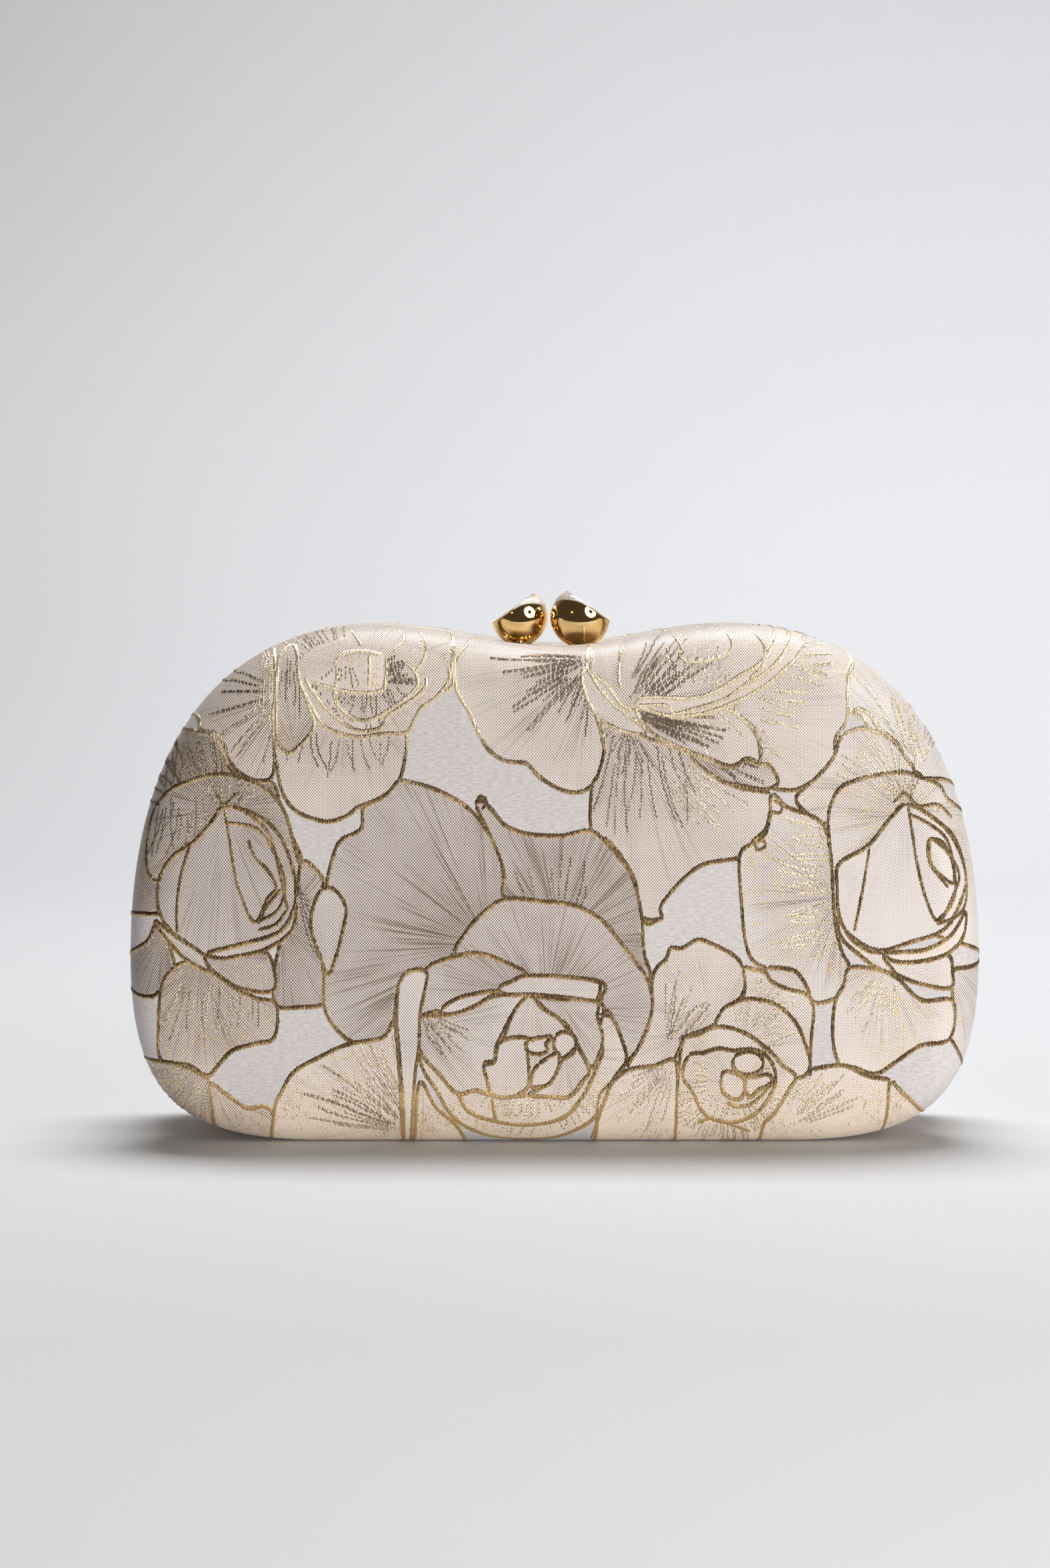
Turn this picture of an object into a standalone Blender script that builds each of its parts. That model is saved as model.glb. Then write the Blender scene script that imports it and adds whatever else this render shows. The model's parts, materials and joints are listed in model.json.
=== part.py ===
"""Evening bag: a hard-case clutch of two padded half shells.

The halves are hinged at the bottom and close with a kiss lock of two balls.

+X is to the wearer's right, the front faces -Y, +Z is up, and the bag stands on Z = 0 over the origin.
Lengths are in millimetres and MM turns them into metres.
"""

import math

import bmesh
import bpy
from mathutils import Vector

MM = 0.001

# Outline, seen from the front. It is the same on the left and on the right.
BASE_HALF = 55.0  # half of the straight bottom
HALF_WIDTH = 97.6
WIDEST_Z = 42.0
CREST_X = 41.0  # the two crests beside the saddle in the top
CREST_Z = 118.6
SADDLE_Z = 114.0
LOWER_CURVE = ((BASE_HALF, 0.0), (88.0, 0.0), (HALF_WIDTH, 12.0), (HALF_WIDTH, WIDEST_Z))
UPPER_CURVE = ((HALF_WIDTH, WIDEST_Z), (HALF_WIDTH, 85.0), (81.0, CREST_Z), (CREST_X, CREST_Z))
LOWER_STEPS = 6
UPPER_STEPS = 7
TOP_STEPS = 4
FACE_MIDDLE = (0.0, 55.0)

# Section of one half: (distance from the seam, inset from the outline), from the rim to the face.
HALF_DEPTH = 25.0
FACE_EDGE_DEPTH = 23.6
BASE_NEAR, BASE_FAR = 7.5, 15.5  # the flat strip that the bag stands on
RIM_DEPTH = 1.3
RIM_INSET = 3.8
SECTION = (
    (RIM_DEPTH, RIM_INSET),
    (3.5, RIM_INSET),
    (4.9, 1.5),
    (BASE_NEAR, 0.0),
    (BASE_FAR, 0.0),
    (21.0, 3.2),
    (FACE_EDGE_DEPTH, 9.0),
)
DOME_SCALE = 0.5
DOME_DEPTH = 24.75

# Layers of a half, from outside: thickness, and the gap before the next one.
GAP = 0.3
COVER_T = 0.5
PADDING_T = 0.8
SHELL_T = 1.0
LINING_T = 0.4
PADDING_IN = COVER_T + GAP
SHELL_IN = PADDING_IN + PADDING_T + GAP
LINING_IN = SHELL_IN + SHELL_T + GAP
STACK = LINING_IN + LINING_T

# Metal frame of a half: a channel that holds the edges of the layers.
FRAME_NEAR = 0.2
WEB_T = 0.8
FLANGE_T = 0.5
FLANGE_DEPTH = 3.2
FRAME_OUT = RIM_INSET - GAP - FLANGE_T
FRAME_IN = RIM_INSET + STACK + GAP + FLANGE_T

# Hinges under the frame, in the valley between the halves.
HINGE_X = 40.0
HINGE_LENGTH = 20.0
AXIS_Z = 1.4
KNUCKLE_R = 1.2
KNUCKLE_HOLE_R = 0.75
PIN_R = 0.42
PIN_HEAD_R = 0.9
PIN_HEAD_T = 0.5
KNUCKLES = 5
LEAF_LOW, LEAF_HIGH = 2.3, 2.7
LEAF_NEAR, LEAF_FAR = 1.6, 3.0

# Kiss lock: each knob stands on its own half and leans over the seam. x, y and z are the ball's middle.
FRONT_KNOB = {"x": -8.0, "y": 2.0, "z": 120.05, "r": 6.55, "facet": (-0.58, 0.815), "cut": 2.75}
BACK_KNOB = {"x": 6.0, "y": -2.0, "z": 120.2, "r": 6.95, "facet": (0.575, 0.818), "cut": 3.4}
FOOT_Y = 1.7
PLATE_HALF = 5.5
PLATE_T = 0.5
PLATE_NEAR, PLATE_FAR = 0.4, 3.1
FOOT_R = 1.35
FOOT_T = 0.45
FOOT_LIFT = 0.55
POST_R = 1.0
POST_BORE_R = 1.4
POST_SINK = 3.0  # how far the post goes into the ball
RIVET_X = 3.9
RIVET_R = 0.9
RIVET_T = 0.5
FILM_T = 0.2
FILM_TAB_HALF = 1.3
FILM_TAB = 1.0

# Slip pocket on the lining of the back half.
POCKET_HALF = 42.0
POCKET_LOW, POCKET_HIGH = 20.0, 66.0
POCKET_Y = 19.2
POCKET_T = 0.5
POCKET_SLACK = 1.0
BINDING_T = 0.4
BINDING_HEIGHT = 4.0


def clear_scene():
    for old in list(bpy.data.objects):
        bpy.data.objects.remove(old, do_unlink=True)


def material(name, colour, roughness, metallic=0.0, alpha=1.0):
    made = bpy.data.materials.new(name)
    made.use_nodes = True
    shader = made.node_tree.nodes["Principled BSDF"]
    shader.inputs["Base Color"].default_value = (*colour, 1.0)
    shader.inputs["Roughness"].default_value = roughness
    shader.inputs["Metallic"].default_value = metallic
    shader.inputs["Alpha"].default_value = alpha
    made.diffuse_color = (*colour, alpha)
    return made


def pivot(name, place, parent=None):
    """An empty on a joint's axis. place is in millimetres."""
    made = bpy.data.objects.new(name, None)
    bpy.context.scene.collection.objects.link(made)
    made.empty_display_size = 5 * MM
    made.location = Vector(place) * MM
    if parent:
        made.parent = parent
        made.location -= parent.matrix_world.translation
    bpy.context.view_layer.update()
    return made


def finish_mesh(name, bm, smooth_angle=30.0):
    """Turns the bmesh into a mesh in metres, with its faces pointing out."""
    bmesh.ops.recalc_face_normals(bm, faces=bm.faces[:])
    bmesh.ops.scale(bm, vec=(MM, MM, MM), verts=bm.verts[:])
    mesh = bpy.data.meshes.new(name)
    bm.to_mesh(mesh)
    bm.free()
    mesh.shade_smooth()
    mesh.set_sharp_from_angle(angle=math.radians(smooth_angle))
    return mesh


def place(name, mesh, look, parent, location=(0.0, 0.0, 0.0)):
    """Adds an object whose location is given in millimetres in world space."""
    made = bpy.data.objects.new(name, mesh)
    bpy.context.scene.collection.objects.link(made)
    if not mesh.materials:
        mesh.materials.append(look)
    made.parent = parent
    made.location = Vector(location) * MM - parent.matrix_world.translation
    return made


def combine(name, base, others):
    """The base mesh after a Boolean with each (mesh, operation) in turn."""
    body = bpy.data.objects.new(name, base)
    bpy.context.scene.collection.objects.link(body)
    helpers = []
    for mesh, operation in others:
        helper = bpy.data.objects.new(name + "_helper", mesh)
        bpy.context.scene.collection.objects.link(helper)
        helper.hide_render = True
        helper.display_type = "WIRE"
        modifier = body.modifiers.new(operation.lower(), "BOOLEAN")
        modifier.operation = operation
        modifier.object = helper
        helpers.append(helper)
    graph = bpy.context.evaluated_depsgraph_get()
    result = bpy.data.meshes.new_from_object(body.evaluated_get(graph))
    for old in (*helpers, body):
        bpy.data.objects.remove(old, do_unlink=True)
    result.name = name
    return result


def bezier(curve, t):
    """A point of a cubic curve and its direction there."""
    a, b, c, d = (Vector(point) for point in curve)
    u = 1 - t
    point = a * u**3 + b * (3 * u * u * t) + c * (3 * u * t * t) + d * t**3
    return point, (b - a) * (u * u) + (c - b) * (2 * u * t) + (d - c) * (t * t)


def saddle(x):
    """Height of the outline between the two crests."""
    return SADDLE_Z + (CREST_Z - SADDLE_Z) * (1 - math.cos(math.pi * x / CREST_X)) / 2


def saddle_slope(x):
    return (CREST_Z - SADDLE_Z) * math.pi / CREST_X * math.sin(math.pi * x / CREST_X) / 2


def outline():
    """Points and outward normals all round, from the bottom's middle to the right and over the top."""
    points = [(Vector((0.0, 0.0)), Vector((1.0, 0.0)))]
    points.append((Vector((BASE_HALF / 2, 0.0)), Vector((1.0, 0.0))))
    points += [bezier(LOWER_CURVE, i / LOWER_STEPS) for i in range(LOWER_STEPS)]
    points += [bezier(UPPER_CURVE, i / UPPER_STEPS) for i in range(UPPER_STEPS)]
    for i in range(TOP_STEPS + 1):
        x = CREST_X * (1 - i / TOP_STEPS)
        points.append((Vector((x, saddle(x))), Vector((-1.0, -saddle_slope(x)))))
    right = [(point, Vector((way.y, -way.x)).normalized()) for point, way in points]
    left = [(Vector((-p.x, p.y)), Vector((-n.x, n.y))) for p, n in reversed(right[1:-1])]
    return right + left


def ring(around, depth, inset, side):
    """A loop of points at one depth from the seam. side is 1 for the back half and -1 for the front."""
    inner = [point - normal * inset for point, normal in around]
    return [Vector((point.x, side * depth, point.y)) for point in inner]


def shrunk(points, scale, depth, side):
    """A loop scaled towards the middle of the face, at another depth."""
    x, z = FACE_MIDDLE
    return [Vector((x + (p.x - x) * scale, side * depth, z + (p.z - z) * scale)) for p in points]


def offset_section(section, distance):
    """The section moved into the bag by a distance, with its corners kept sharp."""
    ends = list(section) + [(HALF_DEPTH, section[-1][1] + HALF_WIDTH / 2)]
    normals = []
    for (depth_a, inset_a), (depth_b, inset_b) in zip(ends, ends[1:]):
        normals.append(Vector((inset_a - inset_b, depth_b - depth_a)).normalized())
    moved = []
    for i, (depth, inset) in enumerate(section):
        before, after = normals[max(i - 1, 0)], normals[i]
        corner = (before + after) * (distance / (1 + before.dot(after)))
        moved.append((depth + corner.x, inset + corner.y))
    return moved


def loft(bm, rings, closed=False):
    """Faces between loops of points that follow each other. Returns the loops' vertices."""
    loops = [[bm.verts.new(point) for point in points] for points in rings]
    pairs = list(zip(loops, loops[1:]))
    if closed:
        pairs.append((loops[-1], loops[0]))
    for a, b in pairs:
        for i in range(len(a)):
            j = (i + 1) % len(a)
            bm.faces.new((a[i], a[j], b[j], b[i]))
    return loops


def fan(bm, loop, point):
    tip = bm.verts.new(point)
    for i in range(len(loop)):
        bm.faces.new((loop[i], loop[(i + 1) % len(loop)], tip))


def tray_mesh(name, around, side, inward, thickness, first=0, domed=False):
    """One layer of a half: a closed tray, inward millimetres inside the outer surface."""
    bm = bmesh.new()
    rims = []
    for distance in (inward, inward + thickness):
        section = offset_section(SECTION[first:], distance)
        rings = [ring(around, depth, inset, side) for depth, inset in section]
        if domed:
            rings.append(shrunk(rings[-1], DOME_SCALE, DOME_DEPTH - distance, side))
        loops = loft(bm, rings)
        middle = Vector((FACE_MIDDLE[0], side * (HALF_DEPTH - distance), FACE_MIDDLE[1]))
        fan(bm, loops[-1], middle)
        rims.append(loops[0])
    for i in range(len(around)):
        j = (i + 1) % len(around)
        bm.faces.new((rims[0][i], rims[0][j], rims[1][j], rims[1][i]))
    return finish_mesh(name, bm)


def frame_mesh(name, around, side):
    """The channel all round a half, open away from the seam."""
    web = FRAME_NEAR + WEB_T
    profile = (
        (FRAME_NEAR, FRAME_OUT),
        (FLANGE_DEPTH, FRAME_OUT),
        (FLANGE_DEPTH, FRAME_OUT + FLANGE_T),
        (web, FRAME_OUT + FLANGE_T),
        (web, FRAME_IN - FLANGE_T),
        (FLANGE_DEPTH, FRAME_IN - FLANGE_T),
        (FLANGE_DEPTH, FRAME_IN),
        (FRAME_NEAR, FRAME_IN),
    )
    bm = bmesh.new()
    loft(bm, [ring(around, depth, inset, side) for depth, inset in profile], closed=True)
    return finish_mesh(name, bm)


def rod_mesh(name, profile, axis, origin=(0.0, 0.0, 0.0), sides=14):
    """A turned solid: profile is (distance along the axis, radius), and its ends are closed flat."""
    along = Vector(axis).normalized()
    across = along.orthogonal().normalized()
    other = along.cross(across)
    rings = []
    for distance, radius in profile:
        middle = Vector(origin) + along * distance
        turns = [math.tau * i / sides for i in range(sides)]
        rings.append([middle + (across * math.cos(a) + other * math.sin(a)) * radius for a in turns])
    bm = bmesh.new()
    loops = loft(bm, rings)
    bm.faces.new(loops[0])
    bm.faces.new(loops[-1])
    return finish_mesh(name, bm)


def prism_mesh(name, corners, low, high):
    """A flat outline of (x, y) corners, raised from low to high."""
    bm = bmesh.new()
    face = bm.faces.new([bm.verts.new((x, y, low)) for x, y in corners])
    raised = bmesh.ops.extrude_face_region(bm, geom=[face])
    tops = [item for item in raised["geom"] if isinstance(item, bmesh.types.BMVert)]
    bmesh.ops.translate(bm, vec=(0.0, 0.0, high - low), verts=tops)
    return finish_mesh(name, bm)


def knuckle_spans(own):
    """The stretches of the hinge's length that belong to one leaf: the even ones or the odd ones."""
    length = (HINGE_LENGTH - GAP * (KNUCKLES - 1)) / KNUCKLES
    starts = [i * (length + GAP) - HINGE_LENGTH / 2 for i in range(own, KNUCKLES, 2)]
    return [(start, start + length) for start in starts]


def leaf_mesh(name, side, own):
    """A hinge leaf: a comb-shaped plate whose teeth end in knuckles, around the hinge's middle."""
    half = HINGE_LENGTH / 2
    corners = [(-half, side * LEAF_FAR), (-half, side * LEAF_NEAR)]
    barrels = bmesh.new()
    for start, end in knuckle_spans(own):
        corners += [(start, side * LEAF_NEAR), (start, 0.0), (end, 0.0), (end, side * LEAF_NEAR)]
        turns = [math.tau * (i + 0.5) / 14 for i in range(14)]
        circle = [(KNUCKLE_R * math.cos(a), KNUCKLE_R * math.sin(a)) for a in turns]
        loops = loft(barrels, [[Vector((x, y, z)) for y, z in circle] for x in (start, end)])
        for loop in loops:
            barrels.faces.new(loop)
    corners += [(half, side * LEAF_NEAR), (half, side * LEAF_FAR)]
    outline_points = [point for i, point in enumerate(corners) if point != corners[i - 1]]
    comb = prism_mesh(name, outline_points, LEAF_LOW - AXIS_Z, LEAF_HIGH - AXIS_Z)
    bore = rod_mesh(name, ((-half - 1, KNUCKLE_HOLE_R), (half + 1, KNUCKLE_HOLE_R)), (1, 0, 0))
    knuckles = finish_mesh(name, barrels)
    return combine(name, comb, ((knuckles, "UNION"), (bore, "DIFFERENCE")))


def pin_mesh(name):
    """A hinge pin with a head at each end, just outside the knuckles."""
    inner = HINGE_LENGTH / 2 + GAP
    outer = inner + PIN_HEAD_T
    ends = ((outer, PIN_HEAD_R * 0.6), (inner + 0.2, PIN_HEAD_R), (inner, PIN_HEAD_R), (inner, PIN_R))
    profile = [(-x, r) for x, r in ends] + [(x, r) for x, r in reversed(ends)]
    return rod_mesh(name, profile, (1, 0, 0), sides=12)


def add_hinges(back, front, look):
    leaves = (
        ("back_hinge_leaf", back, leaf_mesh("back_hinge_leaf", 1, 0)),
        ("front_hinge_leaf", front, leaf_mesh("front_hinge_leaf", -1, 1)),
        ("hinge_pin", back, pin_mesh("hinge_pin")),
    )
    for hand, x in (("left", -HINGE_X), ("right", HINGE_X)):
        for name, parent, mesh in leaves:
            place(f"{name}_{hand}", mesh, look, parent, (x, 0.0, AXIS_Z))


def plate_top(x):
    """Height of the clasp plates' upper face, which follows the saddle."""
    return saddle(x) - FRAME_OUT + GAP + PLATE_T


def foot_z(knob):
    """Height of the middle of a post's foot, which the knob leans about."""
    return plate_top(knob["x"]) + FOOT_LIFT + FOOT_T / 2


def clasp_plate_mesh(name, knob, side):
    """A strip on the frame that carries one knob, bent to the frame's curve."""
    steps = 6
    sections = []
    for i in range(steps + 1):
        x = knob["x"] + PLATE_HALF * (2 * i / steps - 1)
        high = plate_top(x)
        low = high - PLATE_T
        near, far = side * PLATE_NEAR, side * PLATE_FAR
        sections.append([Vector((x, y, z)) for y, z in ((near, low), (far, low), (far, high), (near, high))])
    bm = bmesh.new()
    loops = loft(bm, sections)
    bm.faces.new(loops[0])
    bm.faces.new(loops[-1])
    return finish_mesh(name, bm)


def rivet_mesh(name):
    profile = ((0.0, RIVET_R), (RIVET_T * 0.4, RIVET_R * 0.95), (RIVET_T, RIVET_R * 0.5))
    return rod_mesh(name, profile, (0, 0, 1), sides=12)


def lean(knob, side):
    """Direction of a post from its foot to the ball's middle, and the distance."""
    foot = Vector((knob["x"], side * FOOT_Y, foot_z(knob)))
    way = Vector((knob["x"], knob["y"], knob["z"])) - foot
    return foot, way.normalized(), way.length


def post_mesh(name, knob, side):
    """A post that rises from a flat foot and leans over the seam into the ball."""
    foot, along, length = lean(knob, side)
    level = FOOT_T / 2
    up = Vector((0.0, 0.0, 1.0))
    rings = (
        (foot - up * level, up, FOOT_R),
        (foot + up * level, up, FOOT_R),
        (foot + up * (level + 0.2), up, POST_R),
        (foot + along * (length - knob["r"] + POST_SINK), along, POST_R),
    )
    bm = bmesh.new()
    loops = []
    for middle, normal, radius in rings:
        other = normal.cross(Vector((1.0, 0.0, 0.0)))
        turns = [math.tau * i / 12 for i in range(12)]
        sideways = Vector((radius, 0.0, 0.0))
        loops.append([middle + sideways * math.cos(a) + other * (math.sin(a) * radius) for a in turns])
    loops = loft(bm, loops)
    bm.faces.new(loops[0])
    bm.faces.new(loops[-1])
    return finish_mesh(name, bm)


def ball_mesh(name, knob, side):
    """A ball with one flat facet and a blind bore for its post."""
    radius = knob["r"]
    middle = Vector((knob["x"], knob["y"], knob["z"]))
    facet = Vector((knob["facet"][0], 0.0, knob["facet"][1])).normalized()
    last = math.asin(knob["cut"] / radius)
    steps = 9
    profile = []
    for i in range(steps + 1):
        angle = -math.pi / 2 + 0.12 + (last + math.pi / 2 - 0.12) * i / steps
        profile.append((radius * math.sin(angle), radius * math.cos(angle)))
    ball = rod_mesh(name, profile, facet, middle, sides=18)
    foot, along, length = lean(knob, side)
    reach = length - radius
    bore = ((reach - 2.0, POST_BORE_R), (reach + POST_SINK + GAP, POST_BORE_R))
    return combine(name, ball, ((rod_mesh(name, bore, along, foot), "DIFFERENCE"),))


def film_mesh(name, knob):
    """A clear disc on a facet, with a tab at its upper and its lower end."""
    radius = math.sqrt(knob["r"] ** 2 - knob["cut"] ** 2) - 0.3
    facet = Vector((knob["facet"][0], 0.0, knob["facet"][1])).normalized()
    slope = Vector((facet.z, 0.0, -facet.x))
    middle = Vector((knob["x"], knob["y"], knob["z"])) + facet * (knob["cut"] + GAP)
    flare = math.asin(FILM_TAB_HALF / radius)
    corners = []
    for turn in (0.0, math.pi):
        end = radius + FILM_TAB
        sign = math.cos(turn)
        corners += [(sign * end, -sign * FILM_TAB_HALF), (sign * end, sign * FILM_TAB_HALF)]
        for i in range(8):
            angle = turn + flare + (math.pi - 2 * flare) * i / 7
            corners.append((radius * math.cos(angle), radius * math.sin(angle)))
    bm = bmesh.new()
    rings = []
    for lift in (0.0, FILM_T):
        rings.append([middle + facet * lift + slope * u + Vector((0.0, v, 0.0)) for u, v in corners])
    loops = loft(bm, rings)
    bm.faces.new(loops[0])
    bm.faces.new(loops[-1])
    return finish_mesh(name, bm)


def add_knob(which, knob, side, half, looks):
    """The clasp plate, its rivets and the knob of one half. which is front or back."""
    place(f"{which}_clasp_plate", clasp_plate_mesh("clasp_plate", knob, side), looks["gilt"], half)
    rivet = rivet_mesh("clasp_rivet")
    for hand, x in (("left", knob["x"] - RIVET_X), ("right", knob["x"] + RIVET_X)):
        where = (x, side * FOOT_Y, plate_top(x) + GAP)
        place(f"{which}_clasp_rivet_{hand}", rivet, looks["gilt"], half, where)
    flex = pivot(f"{which}_knob_pivot", (knob["x"], side * FOOT_Y, foot_z(knob)), half)
    place(f"{which}_knob_post", post_mesh("knob_post", knob, side), looks["gold"], flex)
    place(f"{which}_knob", ball_mesh("knob", knob, side), looks["gold"], flex)
    place(f"{which}_knob_film", film_mesh("knob_film", knob), looks["film"], flex)


def pocket_y(x, z):
    """Depth of the pocket panel, which stands off the lining along its open top edge."""
    rise = (z - POCKET_LOW) / (POCKET_HIGH - POCKET_LOW)
    return POCKET_Y - POCKET_SLACK * rise * (1 - (x / POCKET_HALF) ** 2)


def pocket_panel_mesh(name):
    columns, rows = 8, 3
    bm = bmesh.new()
    rings = []
    for i in range(columns + 1):
        x = POCKET_HALF * (2 * i / columns - 1)
        levels = [POCKET_LOW + (POCKET_HIGH - POCKET_LOW) * j / rows for j in range(rows + 1)]
        near = [Vector((x, pocket_y(x, z), z)) for z in levels]
        far = [Vector((x, pocket_y(x, z) + POCKET_T, z)) for z in reversed(levels)]
        rings.append(near + far)
    loops = loft(bm, rings)
    for loop in (loops[0], loops[-1]):
        for j in range(rows):
            bm.faces.new((loop[j], loop[j + 1], loop[-2 - j], loop[-1 - j]))
    return finish_mesh(name, bm)


def pocket_binding_mesh(name):
    """A folded strip over the pocket's top edge."""
    columns = 8
    low = POCKET_HIGH - BINDING_HEIGHT
    rings = []
    for i in range(columns + 1):
        x = POCKET_HALF * (2 * i / columns - 1)
        y = pocket_y(x, POCKET_HIGH)
        lean_in = pocket_y(x, low) - y
        far = y + POCKET_T
        top = POCKET_HIGH + GAP
        section = (
            (y - GAP + lean_in, low),
            (y - GAP, top),
            (far + GAP, top),
            (far + GAP + lean_in, low),
            (far + GAP + BINDING_T + lean_in, low),
            (far + GAP + BINDING_T, top + BINDING_T),
            (y - GAP - BINDING_T, top + BINDING_T),
            (y - GAP - BINDING_T + lean_in, low),
        )
        rings.append([Vector((x, depth, z)) for depth, z in section])
    bm = bmesh.new()
    loops = loft(bm, rings)
    bm.faces.new(loops[0])
    bm.faces.new(loops[-1])
    return finish_mesh(name, bm)


def add_half(which, side, parent, around, looks):
    """The cover, padding, shell, lining and frame of one half."""
    layers = (
        ("cover", 0.0, COVER_T, 0, True),
        ("padding", PADDING_IN, PADDING_T, 1, False),
        ("shell", SHELL_IN, SHELL_T, 0, False),
        ("lining", LINING_IN, LINING_T, 0, False),
    )
    for layer, inward, thickness, first, domed in layers:
        mesh = tray_mesh(layer, around, side, inward, thickness, first, domed)
        place(f"{which}_{layer}", mesh, looks[layer], parent)
    place(f"{which}_frame", frame_mesh("frame", around, side), looks["gilt"], parent)


def main():
    clear_scene()
    looks = {
        "cover": material("jacquard", (0.66, 0.56, 0.50), 0.45),
        "padding": material("wadding", (0.85, 0.84, 0.80), 0.95),
        "shell": material("shell_board", (0.25, 0.23, 0.21), 0.7),
        "lining": material("lining_satin", (0.60, 0.50, 0.40), 0.4),
        "gilt": material("gilt_metal", (0.80, 0.60, 0.32), 0.22, 1.0),
        "gold": material("polished_gold", (0.86, 0.60, 0.25), 0.08, 1.0),
        "film": material("clear_film", (0.92, 0.93, 0.95), 0.1, 0.0, 0.3),
    }
    around = outline()
    back = pivot("back_half", (0.0, 0.0, 0.0))
    front = pivot("front_half_pivot", (0.0, 0.0, AXIS_Z), back)
    add_half("back", 1, back, around, looks)
    add_half("front", -1, front, around, looks)
    add_hinges(back, front, looks["gilt"])
    add_knob("front", FRONT_KNOB, -1, front, looks)
    add_knob("back", BACK_KNOB, 1, back, looks)
    place("pocket_panel", pocket_panel_mesh("pocket_panel"), looks["lining"], back)
    place("pocket_binding", pocket_binding_mesh("pocket_binding"), looks["lining"], back)


main()
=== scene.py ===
"""The evening bag's looks: jacquard over two padded halves, gilt frames, satin and a golden kiss lock.

Lengths are in millimetres and MM turns them into metres, except where a name says otherwise. The jacquard's
design is drawn flat, in millimetres right of the middle and up from the table, and is laid over the bag.
"""

import json
import math

import bpy
import numpy as np
from mathutils import Matrix, Vector


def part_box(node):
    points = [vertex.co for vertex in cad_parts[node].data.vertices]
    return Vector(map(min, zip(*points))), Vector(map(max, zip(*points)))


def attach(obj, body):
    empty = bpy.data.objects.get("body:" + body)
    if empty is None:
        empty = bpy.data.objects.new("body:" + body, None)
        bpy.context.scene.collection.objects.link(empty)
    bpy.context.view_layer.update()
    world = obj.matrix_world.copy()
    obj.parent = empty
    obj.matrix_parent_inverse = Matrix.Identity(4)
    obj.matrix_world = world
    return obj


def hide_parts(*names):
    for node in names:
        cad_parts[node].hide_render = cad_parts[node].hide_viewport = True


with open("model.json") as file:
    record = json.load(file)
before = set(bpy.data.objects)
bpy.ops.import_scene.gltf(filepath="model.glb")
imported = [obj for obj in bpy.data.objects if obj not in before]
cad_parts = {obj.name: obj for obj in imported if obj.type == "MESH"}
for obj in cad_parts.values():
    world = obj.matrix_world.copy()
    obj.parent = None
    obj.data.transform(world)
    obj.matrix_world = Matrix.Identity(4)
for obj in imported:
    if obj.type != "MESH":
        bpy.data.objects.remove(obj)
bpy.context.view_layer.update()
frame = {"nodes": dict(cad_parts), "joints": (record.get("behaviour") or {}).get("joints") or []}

MM = 0.001
joints = {joint["name"]: joint for joint in frame["joints"]}

# ---------------------------------------------------------------- the bag's form, from the frame

cover_low, cover_high = (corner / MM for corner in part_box("front_cover"))
HALF_WIDTH = cover_high.x
CREST_Z = cover_high.z
HALF_DEPTH = -cover_low.y
SADDLE_Z = 114.0
CREST_X = 41.0
BASE_HALF = 55.0
WIDEST_Z = 42.0
LOWER_CURVE = ((BASE_HALF, 0.0), (88.0, 0.0), (HALF_WIDTH, 12.0), (HALF_WIDTH, WIDEST_Z))
UPPER_CURVE = ((HALF_WIDTH, WIDEST_Z), (HALF_WIDTH, 85.0), (81.0, CREST_Z), (CREST_X, CREST_Z))
FACE_MIDDLE = np.array((0.0, 55.0))
OUTLINE_COUNT = 1440

# Section of the outer surface, from the rim to the face's edge: (distance from the seam, inset from the
# outline).
SECTION = np.array((
    (1.3, 3.8), (3.4, 3.8), (4.3, 2.8), (5.4, 1.2), (7.5, 0.15), (11.5, 0.0),
    (15.5, 0.25), (18.4, 1.5), (20.6, 3.6), (22.0, 6.2), (22.8, 9.0),
))
FACE_EDGE_DEPTH, FACE_INSET = SECTION[-1]
DOME = HALF_DEPTH - FACE_EDGE_DEPTH
DOME_POWER = 2.6

# Layers, from outside: how far under the outer surface, and how thick.
LAYERS = {
    "cover": (0.0, 0.5),
    "padding": (0.8, 0.8),
    "shell": (1.9, 1.0),
    "lining": (3.2, 0.4),
}


def bezier(curve, steps):
    a, b, c, d = (np.array(point) for point in curve)
    t = np.linspace(0.0, 1.0, steps, endpoint=False)[:, None]
    u = 1 - t
    return a * u**3 + 3 * b * u * u * t + 3 * c * u * t * t + d * t**3


def evenly(points, count, closed):
    """Points at equal steps along a polyline."""
    if closed:
        points = np.vstack((points, points[:1]))
    steps = np.linalg.norm(np.diff(points, axis=0), axis=1)
    along = np.concatenate(((0.0,), np.cumsum(steps)))
    at = np.linspace(0.0, along[-1], count, endpoint=not closed)
    return np.column_stack([np.interp(at, along, points[:, k]) for k in range(points.shape[1])])


def smooth_line(points, steps, closed=False):
    """A Catmull-Rom curve through the points."""
    points = np.asarray(points, float)
    if closed:
        padded = np.vstack((points[-1:], points, points[:2]))
    else:
        padded = np.vstack((2 * points[0] - points[1], points, 2 * points[-1] - points[-2]))
    t = np.linspace(0.0, 1.0, steps, endpoint=False)[:, None]
    parts = []
    for a, b, c, d in zip(padded, padded[1:], padded[2:], padded[3:]):
        parts.append(0.5 * (2 * b + (c - a) * t + (2 * a - 5 * b + 4 * c - d) * t**2
                            + (3 * b - a - 3 * c + d) * t**3))
    if not closed:
        parts.append(points[-1:])
    return np.vstack(parts)


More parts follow.
